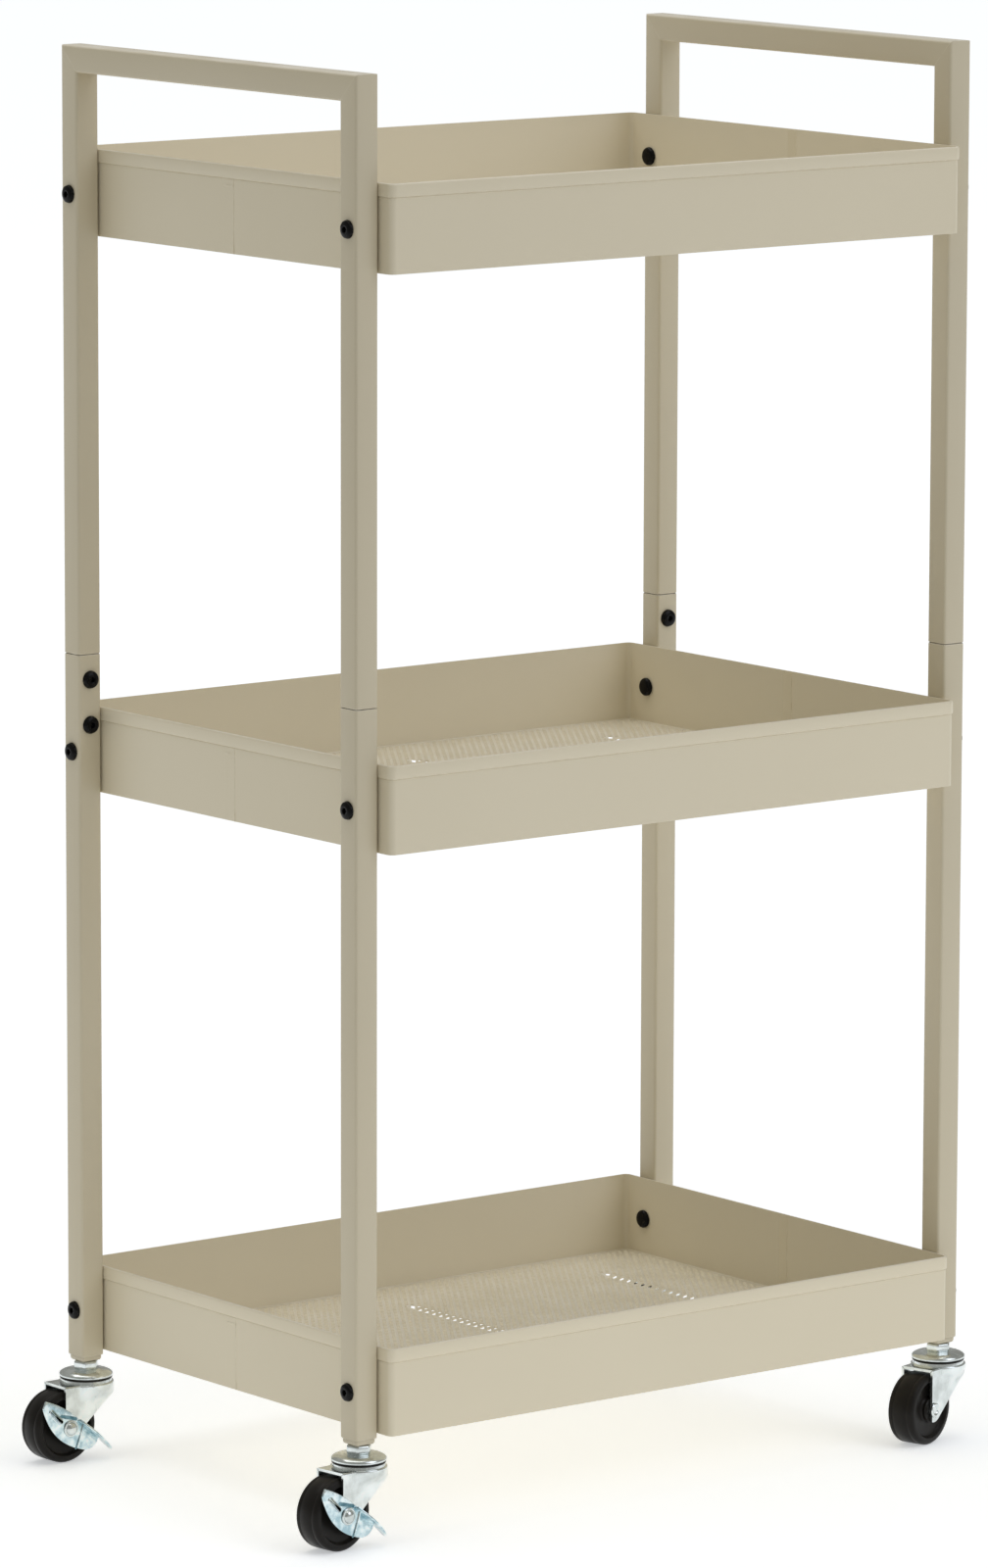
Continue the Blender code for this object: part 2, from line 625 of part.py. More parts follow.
first_tray = piece("tray_top", tray(), PAINT, cart, (0.0, 0.0, TRAY_RIMS["top"]))
for tier in ("middle", "bottom"):
    piece(f"tray_{tier}", first_tray.data, PAINT, cart, (0.0, 0.0, TRAY_RIMS[tier]))

# Tray screws run from outside a leg through its tube and the tray wall into a cap nut inside the tray
wall_face = TRAY_HALF_X - WALL_INNER
nut_seat = wall_face - FIT
head_seat = FRAME_WIDTH / 2 + FIT
tray_screw_mesh = None
cap_nut_mesh = None
for tier in TRAY_RIMS:
    for end_name, end in ENDS.items():
        for side_name, side in SIDES.items():
            corner = f"{tier}_{end_name}_{side_name}"
            z = tray_screw_z(tier)
            shape = tray_screw_mesh or button_screw(head_seat - nut_seat + NUT_BORE_DEPTH - FIT)
            place = (side * head_seat, end * LEG_Y, z)
            tray_screw_mesh = piece(f"tray_screw_{corner}", shape, BLACK, cart, place, (side, 0.0, 0.0)).data
            place = (side * nut_seat, end * LEG_Y, z)
            shape = cap_nut_mesh or cap_nut()
            cap_nut_mesh = piece(f"cap_nut_{corner}", shape, BLACK, cart, place, (-side, 0.0, 0.0)).data

# Joint screws go through the inward wall of each leg into the spigot of the frame above
joint_screw_mesh = None
for end_name, end in ENDS.items():
    for side_name, side in SIDES.items():
        for level, drop in JOINT_SCREW_DROPS.items():
            place = (side * LEG_X, end * (LEG_Y - TUBE / 2 - FIT), JOINT_Z - drop)
            shape = joint_screw_mesh or button_screw(JOINT_SCREW_REACH)
            name = f"joint_screw_{end_name}_{side_name}_{level}"
            joint_screw_mesh = piece(name, shape, BLACK, cart, place, (0.0, -end, 0.0)).data

# Casters: the stem is fixed in the leg, the fork turns about it, wheel and lever turn about the axle
stem_mesh = None
fork_mesh = None
wheel_mesh = None
for end_name, end in ENDS.items():
    for side_name, side in SIDES.items():
        corner = f"{end_name}_{side_name}"
        shape = stem_mesh or caster_stem()
        place = (side * LEG_X, end * LEG_Y, 0.0)
        stem_mesh = piece(f"caster_stem_{corner}", shape, ZINC, cart, place).data
        swivel = empty(f"swivel_axis_{corner}", cart, place)
        swivel.rotation_euler.z = radians(CASTER_TURNS[corner])
        fork_mesh = piece(f"caster_fork_{corner}", fork_mesh or caster_fork(), ZINC, swivel).data
        hub = empty(f"axle_axis_{corner}", swivel, (-TRAIL, 0.0, WHEEL_RADIUS))
        piece(f"caster_axle_{corner}", caster_axle(corner in BRAKED), ZINC, hub)
        wheel_mesh = piece(f"caster_wheel_{corner}", wheel_mesh or caster_wheel(), PLASTIC, hub).data
        if corner in BRAKED:
            piece(f"brake_lever_{corner}", brake_lever(), ZINC, hub)

# The whole cart is shifted so that the bottom centre of its box is the origin
bpy.context.view_layer.update()
corners = []
for made in bpy.data.objects:
    if made.type == "MESH":
        corners += [made.matrix_world @ vertex.co for vertex in made.data.vertices]
low = [min(corner[i] for corner in corners) for i in range(3)]
high = [max(corner[i] for corner in corners) for i in range(3)]
cart.location = (-(low[0] + high[0]) / 2, -(low[1] + high[1]) / 2, -low[2])
bpy.context.view_layer.update()
print("cart size", [round(high[i] - low[i], 4) for i in range(3)])
print("triangles", sum(len(polygon.vertices) - 2 for made in bpy.data.objects if made.type == "MESH"
                       for polygon in made.data.polygons))
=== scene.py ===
import json
from math import acos, asin, atan2, cos, hypot, pi, radians, sin, sqrt

import bmesh
import bpy
from mathutils import Matrix, Vector


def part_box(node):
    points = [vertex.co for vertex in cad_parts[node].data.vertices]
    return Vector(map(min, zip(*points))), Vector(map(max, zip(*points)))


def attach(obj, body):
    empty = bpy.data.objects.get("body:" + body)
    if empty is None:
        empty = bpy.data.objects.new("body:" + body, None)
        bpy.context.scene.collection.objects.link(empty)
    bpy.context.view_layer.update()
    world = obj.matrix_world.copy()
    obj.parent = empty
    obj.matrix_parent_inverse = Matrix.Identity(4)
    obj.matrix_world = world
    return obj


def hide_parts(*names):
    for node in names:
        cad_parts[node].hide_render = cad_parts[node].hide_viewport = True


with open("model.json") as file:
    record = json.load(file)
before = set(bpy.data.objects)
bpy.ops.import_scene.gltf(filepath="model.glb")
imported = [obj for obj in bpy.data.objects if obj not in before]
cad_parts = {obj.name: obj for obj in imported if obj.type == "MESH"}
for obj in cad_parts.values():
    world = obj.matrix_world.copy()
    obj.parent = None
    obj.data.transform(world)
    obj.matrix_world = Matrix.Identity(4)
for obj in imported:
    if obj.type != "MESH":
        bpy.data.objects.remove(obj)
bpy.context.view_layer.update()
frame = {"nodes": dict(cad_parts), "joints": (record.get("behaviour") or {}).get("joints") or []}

scene = bpy.context.scene
leftLow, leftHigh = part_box("handle_frame_left")
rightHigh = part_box("handle_frame_right")[1]
cartMiddle = Vector(((leftLow.x + rightHigh.x) / 2, (leftLow.y + leftHigh.y) / 2, 0.0))
sides = {"left": -1, "right": 1}
ends = {"front": -1, "back": 1}
tiers = ("top", "middle", "bottom")
weldReach = 1e-6  # points this close are one
fineWeld = 1e-7
print("frame:", len(frame["nodes"]), "nodes round", tuple(round(v, 4) for v in cartMiddle))


# camera, matched to the photograph
shot = {
    "place": (-2.88836, -3.71407, 1.12582),
    "turn": -37.840,
    "tilt": 9.068,
    "roll": 0.151,
    "lens": 198.863,
    "sensor": 36.0,
}


def setCamera():
    camera = bpy.data.objects.new("camera", bpy.data.cameras.new("camera"))
    scene.collection.objects.link(camera)
    turn = Matrix.Rotation(radians(shot["turn"]), 4, "Z")
    tilt = Matrix.Rotation(radians(90 - shot["tilt"]), 4, "X")
    roll = Matrix.Rotation(radians(shot["roll"]), 4, "Z")
    camera.matrix_world = Matrix.Translation(shot["place"]) @ turn @ tilt @ roll
    camera.data.sensor_width = shot["sensor"]
    camera.data.lens = shot["lens"]
    scene.camera = camera


# node helpers
def addNode(tree, kind, place, **settings):
    node = tree.nodes.new(f"ShaderNode{kind}")
    node.location = place
    for label, value in settings.items():
        setattr(node, label, value)
    return node


def setInputs(node, **values):
    for label, value in values.items():
        node.inputs[label.replace("_", " ")].default_value = value


def addNoise(tree, place, detail):
    noise = addNode(tree, "TexNoise", place)
    setInputs(noise, Detail=detail)
    return noise


def setSpan(node, label, span):
    node.inputs[f"{label} Min"].default_value, node.inputs[f"{label} Max"].default_value = span


def wire(tree, *rows):
    # each row runs from one node's output to another's input
    for source, output, target, entry in rows:
        tree.links.new(source.outputs[output], target.inputs[entry])


# soft light from all round, with more from the front right
studio = {
    "sky": 0.330,
    "skyTone": (1.01, 1.0, 0.930),
    "aim": (0.0, 0.0, 0.4),
    "lamps": {
        "keyLamp": {"place": (2.39, -5.13, 6.06), "size": 4.8, "watts": 70, "tone": (0.97, 1.0, 1.10)},
        "frontLamp": {"place": (3.06, -6.57, 3.78), "size": 4.8, "watts": 68, "tone": (0.97, 1.0, 1.10)},
        "topLamp": {"place": (-0.3, 0.4, 3.2), "size": 2.6, "watts": 32, "tone": (1.0, 0.98, 0.94)},
    },
    "floorSize": 30.0,
    "floorGrid": 4,
    "floorTone": (0.92, 0.935, 0.96),
    "floorShade": 0.985,
    "floorClouds": 1.5,
    "floorRough": 0.8,
    "glowTone": (0.95, 0.975, 1.0),
    "behind": (0.615, 0.789, 0.0),
    "glow": (0.45, 0.70),
    "glowReach": (0.6, 4.0),
    "glowStart": (-1.1, -0.30),
}


def setLight():
    scene.view_settings.view_transform = "Standard"
    world = bpy.data.worlds.new("studioSky")
    scene.world = world
    world.use_nodes = True
    sky = world.node_tree.nodes["Background"]
    setInputs(sky, Color=(*studio["skyTone"], 1.0), Strength=studio["sky"])
    for name, lamp in studio["lamps"].items():
        light = bpy.data.lights.new(name, "AREA")
        light.size = lamp["size"]
        light.energy = lamp["watts"]
        light.color = lamp["tone"]
        holder = bpy.data.objects.new(name, light)
        aim = (Vector(studio["aim"]) - Vector(lamp["place"])).to_track_quat("-Z", "Y")
        holder.matrix_world = Matrix.Translation(lamp["place"]) @ aim.to_matrix().to_4x4()
        scene.collection.objects.link(holder)


def makeFloorFinish():
    pale = bpy.data.materials.new("paleFloor")
    pale.use_nodes = True
    tree = pale.node_tree
    shader = tree.nodes["Principled BSDF"]
    setInputs(shader, Roughness=studio["floorRough"], Emission_Color=(*studio["glowTone"], 1.0))
    where = addNode(tree, "TexCoord", (-700, 0))
    cloud = addNode(tree, "TexNoise", (-500, 0))
    setInputs(cloud, Scale=studio["floorClouds"])
    tone = addNode(tree, "Mix", (-300, 0), data_type="RGBA")
    pair = [(*(v * share for v in studio["floorTone"]), 1.0) for share in (1.0, studio["floorShade"])]
    setInputs(tone, A=pair[0], B=pair[1])
    # the floor under and behind the cart is lit up to white
    away = addNode(tree, "VectorMath", (-700, -250), operation="DOT_PRODUCT")
    away.inputs[1].default_value = studio["behind"]
    glow = addNode(tree, "MapRange", (-500, -200), interpolation_type="SMOOTHSTEP")
    setSpan(glow, "From", studio["glowReach"])
    setSpan(glow, "To", studio["glow"])
    start = addNode(tree, "MapRange", (-500, -450), interpolation_type="SMOOTHSTEP")
    setSpan(start, "From", studio["glowStart"])
    both = addNode(tree, "Math", (-300, -300), operation="MULTIPLY")
    wire(tree,
         (where, "Object", cloud, "Vector"),
         (cloud, "Fac", tone, "Factor"),
         (tone, "Result", shader, "Base Color"),
         (where, "Object", away, 0),
         (away, "Value", glow, "Value"),
         (away, "Value", start, "Value"),
         (glow, "Result", both, 0),
         (start, "Result", both, 1),
         (both, 0, shader, "Emission Strength"))
    return pale


def layFloor():
    bm = bmesh.new()
    grid = studio["floorGrid"]
    bmesh.ops.create_grid(bm, x_segments=grid, y_segments=grid, size=studio["floorSize"])
    mesh = bpy.data.meshes.new("studioFloor")
    bm.to_mesh(mesh)
    bm.free()
    mesh.materials.append(makeFloorFinish())
    floor = bpy.data.objects.new("studioFloor", mesh)
    scene.collection.objects.link(floor)


setCamera()
setLight()
layFloor()
print("camera, light and floor set")


# effects that several finishes share
effects = {
    "grainDetail": 2.0,
    "cloudDetail": 4.0,
    "highlightSamples": 4,
    "highlightSpan": (0.985, 0.80),
    "breakDetail": 3.0,
    "breakSpan": (0.35, 0.65),
    "upSpan": (0.3, 1.0),
    "dustDetail": 6.0,
    "markTurn": (0.35, 0.2, 0.5),
    "markDetail": 3.0,
    "markSpan": (0.56, 0.72),
}


def newGroup(name, inputs, outputs):
    group = bpy.data.node_groups.new(name, "ShaderNodeTree")
    for label, value in inputs.items():
        socket = group.interface.new_socket(label, in_out="INPUT", socket_type="NodeSocketFloat")
        socket.default_value = value
    for label in outputs:
        group.interface.new_socket(label, in_out="OUTPUT", socket_type="NodeSocketFloat")
    taken, given = (group.nodes.new(f"NodeGroup{way}") for way in ("Input", "Output"))
    taken.location, given.location = (-900, 0), (700, 0)
    where = addNode(group, "TexCoord", (-900, -250))
    return group, taken, given, where


def makeGrainGroup():
    # fine grain for bumps and broad clouds for tone
    scales = {"Grain Scale": 1500.0, "Cloud Scale": 14.0}
    group, taken, given, where = newGroup("coatGrain", scales, ("Grain", "Cloud"))
    grain = addNoise(group, (-500, 100), effects["grainDetail"])
    cloud = addNoise(group, (-500, -200), effects["cloudDetail"])
    for node, label in ((grain, "Grain"), (cloud, "Cloud")):
        wire(group,
             (where, "Object", node, "Vector"),
             (taken, f"{label} Scale", node, "Scale"),
             (node, "Fac", given, label))
    return group


def makeEdgeHighlightGroup():
    # painted highlight along convex edges, in patches: lighter where rounded normals leave the true ones
    group, taken, given, where = newGroup("paintedEdgeHighlight", {"Width": 0.0006, "Break Scale": 260.0}, ("Mask",))
    shape = addNode(group, "NewGeometry", (-900, 250))
    rounded = addNode(group, "Bevel", (-700, 100), samples=effects["highlightSamples"])
    same = addNode(group, "VectorMath", (-450, 200), operation="DOT_PRODUCT")
    ramp = addNode(group, "MapRange", (-200, 200))
    setSpan(ramp, "From", effects["highlightSpan"])
    breaks = addNoise(group, (-500, -200), effects["breakDetail"])
    patch = addNode(group, "MapRange", (-250, -200))
    setSpan(patch, "From", effects["breakSpan"])
    both = addNode(group, "Math", (300, 0), operation="MULTIPLY")
    wire(group,
         (taken, "Width", rounded, "Radius"),
         (rounded, "Normal", same, 0),
         (shape, "Normal", same, 1),
         (same, "Value", ramp, "Value"),
         (where, "Object", breaks, "Vector"),
         (taken, "Break Scale", breaks, "Scale"),
         (breaks, "Fac", patch, "Value"),
         (ramp, "Result", both, 0),
         (patch, "Result", both, 1),
         (both, 0, given, "Mask"))
    return group


def makeDustAndTopLightGroup():
    # dust settled on what faces up, in patches, and painted light from above that makes upward faces
    # lighter
    group, taken, given, where = newGroup("dustAndPaintedTopLight", {"Amount": 0.1, "Patch Scale": 40.0}, ("Mask",))
    shape = addNode(group, "NewGeometry", (-900, 250))
    parts = addNode(group, "SeparateXYZ", (-700, 250))
    up = addNode(group, "MapRange", (-500, 250))
    setSpan(up, "From", effects["upSpan"])
    patch = addNoise(group, (-500, -150), effects["dustDetail"])
    both = addNode(group, "Math", (-100, 0), operation="MULTIPLY")
    share = addNode(group, "Math", (200, 0), operation="MULTIPLY")
    wire(group,
         (shape, "Normal", parts, "Vector"),
         (parts, "Z", up, "Value"),
         (where, "Object", patch, "Vector"),
         (taken, "Patch Scale", patch, "Scale"),
         (up, "Result", both, 0),
         (patch, "Fac", both, 1),
         (both, 0, share, 0),
         (taken, "Amount", share, 1),
         (share, 0, given, "Mask"))
    return group


def makeScratchGroup():
    # fine drawn marks: noise stretched along one direction, thinned to lines
    group, taken, given, where = newGroup("fineScratches", {"Scale": 900.0, "Stretch": 0.04}, ("Mask",))
    stretch = addNode(group, "CombineXYZ", (-700, -50))
    setInputs(stretch, X=1.0, Y=1.0)
    squeeze = addNode(group, "Mapping", (-500, -100))
    setInputs(squeeze, Rotation=effects["markTurn"])
    lines = addNoise(group, (-250, -100), effects["markDetail"])
    thin = addNode(group, "MapRange", (100, -100))
    setSpan(thin, "From", effects["markSpan"])
    wire(group,
         (taken, "Stretch", stretch, "Z"),
         (where, "Object", squeeze, "Vector"),
         (stretch, "Vector", squeeze, "Scale"),
         (squeeze, "Vector", lines, "Vector"),
         (taken, "Scale", lines, "Scale"),
         (lines, "Fac", thin, "Value"),
         (thin, "Result", given, "Mask"))
    return group


grainGroup = makeGrainGroup()
edgeHighlightGroup = makeEdgeHighlightGroup()
dustAndTopLightGroup = makeDustAndTopLightGroup()
scratchGroup = makeScratchGroup()


# finishes
# the edgeHighlight colours are painted highlights along convex edges
powderCoat = {
    "tone": (0.770, 0.697, 0.532), "shade": (0.738, 0.664, 0.502), "edgeHighlight": (0.90, 0.84, 0.70),
    "dustAndTopLight": (0.97, 0.94, 0.87), "rough": (0.30, 0.42), "grainScale": 1300.0, "cloudScale": 9.0,
    "cloudSpan": (0.0, 1.0), "edgeWidth": 0.0007, "dustAndTopLightShare": 0.90, "bump": 0.10, "bumpDepth": 0.00012,
    "metallic": 0.0, "specular": 0.40, "scratchScale": 700.0, "scratchRough": 0.05,
}
zincPlate = {
    "tone": (0.83, 0.88, 0.88), "shade": (0.56, 0.60, 0.59), "edgeHighlight": (0.90, 0.93, 0.93),
    "dustAndTopLight": (0.50, 0.50, 0.48), "rough": (0.14, 0.24), "grainScale": 900.0, "cloudScale": 85.0,
    "cloudSpan": (0.36, 0.64), "edgeWidth": 0.0004, "dustAndTopLightShare": 0.06, "bump": 0.03, "bumpDepth": 0.00005,
    "metallic": 1.0, "specular": 0.50, "scratchScale": 1100.0, "scratchRough": 0.10,
}
blackOxide = {
    "tone": (0.003, 0.003, 0.003), "shade": (0.005, 0.005, 0.005), "edgeHighlight": (0.014, 0.013, 0.013),
    "dustAndTopLight": (0.08, 0.08, 0.08), "rough": (0.14, 0.24), "grainScale": 2600.0, "cloudScale": 160.0,
    "cloudSpan": (0.0, 1.0), "edgeWidth": 0.0004, "dustAndTopLightShare": 0.02, "bump": 0.05, "bumpDepth": 0.00004,
    "metallic": 0.0, "specular": 0.13, "scratchScale": 1800.0, "scratchRough": 0.10,
}
wheelPlastic = {
    "tone": (0.008, 0.007, 0.006), "shade": (0.014, 0.012, 0.010), "edgeHighlight": (0.045, 0.041, 0.037),
    "dustAndTopLight": (0.12, 0.11, 0.10), "rough": (0.30, 0.42), "grainScale": 1800.0, "cloudScale": 120.0,
    "cloudSpan": (0.0, 1.0), "edgeWidth": 0.0005, "dustAndTopLightShare": 0.05, "bump": 0.08, "bumpDepth": 0.00008,
    "metallic": 0.0, "specular": 0.15, "scratchScale": 1200.0, "scratchRough": 0.14,
}
leverZinc = {**zincPlate, "tone": (0.82, 0.92, 0.94), "shade": (0.38, 0.54, 0.60), "cloudScale": 210.0}
# painted shade: a dark blue-green zinc for the patches where the lever lies in shade
paintedShadeZinc = {**zincPlate, "tone": (0.05, 0.13, 0.17), "shade": (0.17, 0.29, 0.34), "cloudScale": 300.0}
# painted shade: the frame tubes get a darker copy of the tray coat, so the legs come out darker than tray
# walls facing the same way
shadedFrameCoat = {**powderCoat, "tone": (0.642, 0.576, 0.428), "shade": (0.612, 0.545, 0.402),
              "edgeHighlight": (0.80, 0.74, 0.60)}


def mixTone(tree, place, first, second, mask):
    # first may be a colour or a socket
    mix = addNode(tree, "Mix", place, data_type="RGBA")
    if isinstance(first, tuple):
        mix.inputs["A"].default_value = (*first, 1.0)
    else:
        tree.links.new(first, mix.inputs["A"])
    mix.inputs["B"].default_value = (*second, 1.0)
    tree.links.new(mask, mix.inputs["Factor"])
    return mix.outputs["Result"]


def addGroup(tree, group, place, **values):
    node = addNode(tree, "Group", place, node_tree=group)
    setInputs(node, **values)
    return node


def makeFinish(name, look):
    made = bpy.data.materials.new(name)
    made.use_nodes = True
    tree = made.node_tree
    shader = tree.nodes["Principled BSDF"]
    setInputs(shader, Metallic=look["metallic"], Specular_IOR_Level=look["specular"])
    grain = addGroup(tree, grainGroup, (-1100, 0), Grain_Scale=look["grainScale"],
                     Cloud_Scale=look["cloudScale"])
    edge = addGroup(tree, edgeHighlightGroup, (-1100, 250), Width=look["edgeWidth"])
    dustAndTopLight = addGroup(tree, dustAndTopLightGroup, (-1100, 480), Amount=look["dustAndTopLightShare"])
    marks = addGroup(tree, scratchGroup, (-1100, -250), Scale=look["scratchScale"])
    cloud = addNode(tree, "MapRange", (-950, 120))
    setSpan(cloud, "From", look["cloudSpan"])
    tone = mixTone(tree, (-800, 200), look["tone"], look["shade"], cloud.outputs["Result"])
    # painted highlight: lighter colour along convex edges
    tone = mixTone(tree, (-600, 250), tone, look["edgeHighlight"], edge.outputs["Mask"])
    # dust, and painted light from above: lighter colour on what faces up
    tone = mixTone(tree, (-400, 300), tone, look["dustAndTopLight"], dustAndTopLight.outputs["Mask"])
    tree.links.new(tone, shader.inputs["Base Color"])
    rough = addNode(tree, "MapRange", (-700, -50))
    setSpan(rough, "To", look["rough"])
    worn = addNode(tree, "Math", (-450, -100), operation="MULTIPLY_ADD")
    worn.inputs[1].default_value = look["scratchRough"]
    bump = addNode(tree, "Bump", (-300, -350))
    setInputs(bump, Strength=look["bump"], Distance=look["bumpDepth"])
    wire(tree,
         (grain, "Cloud", cloud, "Value"),
         (grain, "Cloud", rough, "Value"),
         (marks, "Mask", worn, 0),
         (rough, "Result", worn, 2),
         (worn, 0, shader, "Roughness"),
         (grain, "Grain", bump, "Height"),
         (bump, "Normal", shader, "Normal"))
    return made


finishes = {
    "paint": makeFinish("beigeTrayCoat", powderCoat),
    "shadedFrameCoat": makeFinish("beigeCoatShadedForFrame", shadedFrameCoat),
    "fastener": makeFinish("blackOxide", blackOxide),
    "zinc": makeFinish("brightZinc", zincPlate),
    "leverZinc": makeFinish("blueZinc", leverZinc),
    "paintedShadeZinc": makeFinish("blueZincPaintedShade", paintedShadeZinc),
    "wheel": makeFinish("blackWheelPlastic", wheelPlastic),
}
print("finishes made:", ", ".join(finishes))


# shared modelling moves
def everything(bm):
    return bm.verts[:] + bm.edges[:] + bm.faces[:]


def faceOut(bm):
    bmesh.ops.recalc_face_normals(bm, faces=bm.faces)


def pull(bm, face, move):
    # extrudes one face and gives the moved one
    made = bmesh.ops.extrude_face_region(bm, geom=[face])["geom"]
    bmesh.ops.translate(bm, verts=[v for v in made if isinstance(v, bmesh.types.BMVert)], vec=move)
    return next(f for f in made if isinstance(f, bmesh.types.BMFace))


def pullEdges(bm, edges, move=(0.0, 0.0, 0.0)):
    # extrudes an edge strip and gives the moved verts and edges
    made = bmesh.ops.extrude_edge_only(bm, edges=edges)["geom"]
    verts = [v for v in made if isinstance(v, bmesh.types.BMVert)]
    bmesh.ops.translate(bm, verts=verts, vec=move)
    return verts, [e for e in made if isinstance(e, bmesh.types.BMEdge)]


def roundCorners(bm, verts, offset, steps):
    bmesh.ops.bevel(bm, geom=verts, offset=offset, offset_type="OFFSET", segments=steps, profile=0.5,
                    affect="VERTICES", material=-1)


def roundEdges(bm, edges, offset, steps):
    bmesh.ops.bevel(bm, geom=edges, offset=offset, offset_type="OFFSET", segments=steps, profile=0.5,
                    affect="EDGES", material=-1, clamp_overlap=True)


def softenEdges(bm, width, steps, angle=40):
    # rounds every edge that is sharper than the angle
    bm.normal_update()
    sharp = [e for e in bm.edges if e.is_manifold and e.calc_face_angle() > radians(angle)]
    roundEdges(bm, sharp, width, steps)


def squareFace(bm, size, rounding, steps, place):
    # a square with rounded corners, flat in XY
    made = bmesh.ops.create_circle(bm, cap_ends=True, segments=4, radius=size / sqrt(2))
    bmesh.ops.rotate(bm, verts=made["verts"], matrix=Matrix.Rotation(radians(45), 3, "Z"))
    roundCorners(bm, made["verts"], rounding, steps)
    face = [f for f in bm.faces if len(f.verts) == 4 * (steps + 1)][-1]
    bmesh.ops.translate(bm, verts=face.verts, vec=place)
    return face


def sweepUp(bm, face, stations):
    # carries a flat face through (size, height) stations about its own middle
    middle = face.calc_center_median()
    for (oldSize, oldZ), (size, z) in zip(stations, stations[1:]):
        face = pull(bm, face, (0.0, 0.0, z - oldZ))
        grow = size / oldSize
        bmesh.ops.scale(bm, verts=face.verts, vec=(grow, grow, 1.0), space=Matrix.Translation(-middle))
    return face


def spinProfile(profile, steps, closed=False):
    # turns (radius, height) points about Z
    bm = bmesh.new()
    verts = [bm.verts.new((radius, 0.0, z)) for radius, z in profile]
    edges = [bm.edges.new(pair) for pair in zip(verts, verts[1:])]
    if closed:
        edges.append(bm.edges.new((verts[-1], verts[0])))
    bmesh.ops.spin(bm, geom=verts + edges, cent=(0.0, 0.0, 0.0), axis=(0.0, 0.0, 1.0), angle=2 * pi,
                   steps=steps, use_merge=True)
    bmesh.ops.remove_doubles(bm, verts=bm.verts, dist=fineWeld)
    faceOut(bm)
    return bm


def setReach(verts, reachAt):
    # moves verts straight out or in from Z, to the reach at their angle
    for vert in verts:
        angle = atan2(vert.co.y, vert.co.x)
        reach = reachAt(angle)
        vert.co.x, vert.co.y = reach * cos(angle), reach * sin(angle)


def addBlock(bm, size, middle):
    verts = bmesh.ops.create_cube(bm, size=1.0)["verts"]
    bmesh.ops.scale(bm, verts=verts, vec=size)
    bmesh.ops.translate(bm, verts=verts, vec=middle)
    return verts


def joinShapes(bm, other):
    # adds another bmesh to this one
    mesh = bpy.data.meshes.new("joining")
    other.to_mesh(mesh)
    other.free()
    bm.from_mesh(mesh)
    bpy.data.meshes.remove(mesh)
    return bm


def facing(place, direction):
    # puts a shape's +Z along a direction at a place
    return Matrix.Translation(place) @ Vector(direction).to_track_quat("Z", "Y").to_matrix().to_4x4()


def boxMiddle(node):
    low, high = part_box(node)
    return (low + high) / 2


def placedCopy(shape, matrix):
    bm = shape.copy()
    bmesh.ops.transform(bm, matrix=matrix, verts=bm.verts)
    return bm


def addPiece(name, bm, slotName, body, nodes, sharp=32, finish=None):
    # edges sharper than sharp, in degrees, stay crisp
    mesh = bpy.data.meshes.new(name)
    bm.to_mesh(mesh)
    bm.free()
    mesh.shade_smooth()
    mesh.set_sharp_from_angle(angle=radians(sharp))
    mesh.materials.append(finishes[finish or slotName])
    made = bpy.data.objects.new(name, mesh)
    scene.collection.objects.link(made)
    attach(made, body)
    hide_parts(*nodes)
    return made


# tube frame: two handle frames plugged into four legs
frameTube = {
    "size": leftHigh.x - leftLow.x,
    "rounding": 0.0012,
    "roundSteps": 5,
    "plugSize": 0.0114,
    "endBevel": 0.0003,
    "boreSize": 0.0121,
    "boreDepth": 0.060,
    "footPlug": 0.0129,
    "footSteps": ((0.0016, 0.0), (0.0004, 0.0005), (0.0, 0.0013), (0.0, 0.0028)),  # narrower by, height
    "footRim": 0.0005,
}


def makeHandleFrame(sideName):
    tube = frameTube
    low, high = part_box(f"handle_frame_{sideName}")
    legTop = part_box(f"leg_front_{sideName}")[1].z
    size, plug, bevel = tube["size"], tube["plugSize"], tube["endBevel"]
    x = (low.x + high.x) / 2 - cartMiddle.x
    y = low.y - cartMiddle.y + size / 2
    foot = legTop + bevel
    barZ = high.z - size / 2
    bm = bmesh.new()
    face = squareFace(bm, plug, tube["rounding"], tube["roundSteps"], (x, y, low.z))
    stations = [(plug, low.z), (plug, foot), (size - 2 * bevel, foot), (size, foot + bevel), (size, barZ)]
    face = sweepUp(bm, face, stations)
    for vert in face.verts:  # the mitre
        vert.co.z -= vert.co.y - y
    face = pull(bm, face, (0.0, 0.0, 0.0))
    for vert in face.verts:
        vert.co.y = 0.0
    bmesh.ops.delete(bm, geom=[face], context="FACES_ONLY")
    bmesh.ops.mirror(bm, geom=everything(bm), axis="Y", merge_dist=weldReach)
    bmesh.ops.remove_doubles(bm, verts=bm.verts, dist=fineWeld)
    faceOut(bm)
    bmesh.ops.translate(bm, verts=bm.verts, vec=cartMiddle)
    addPiece(f"handle_tube_{sideName}", bm, "paint", "cart", [f"handle_frame_{sideName}"],
             finish="shadedFrameCoat")


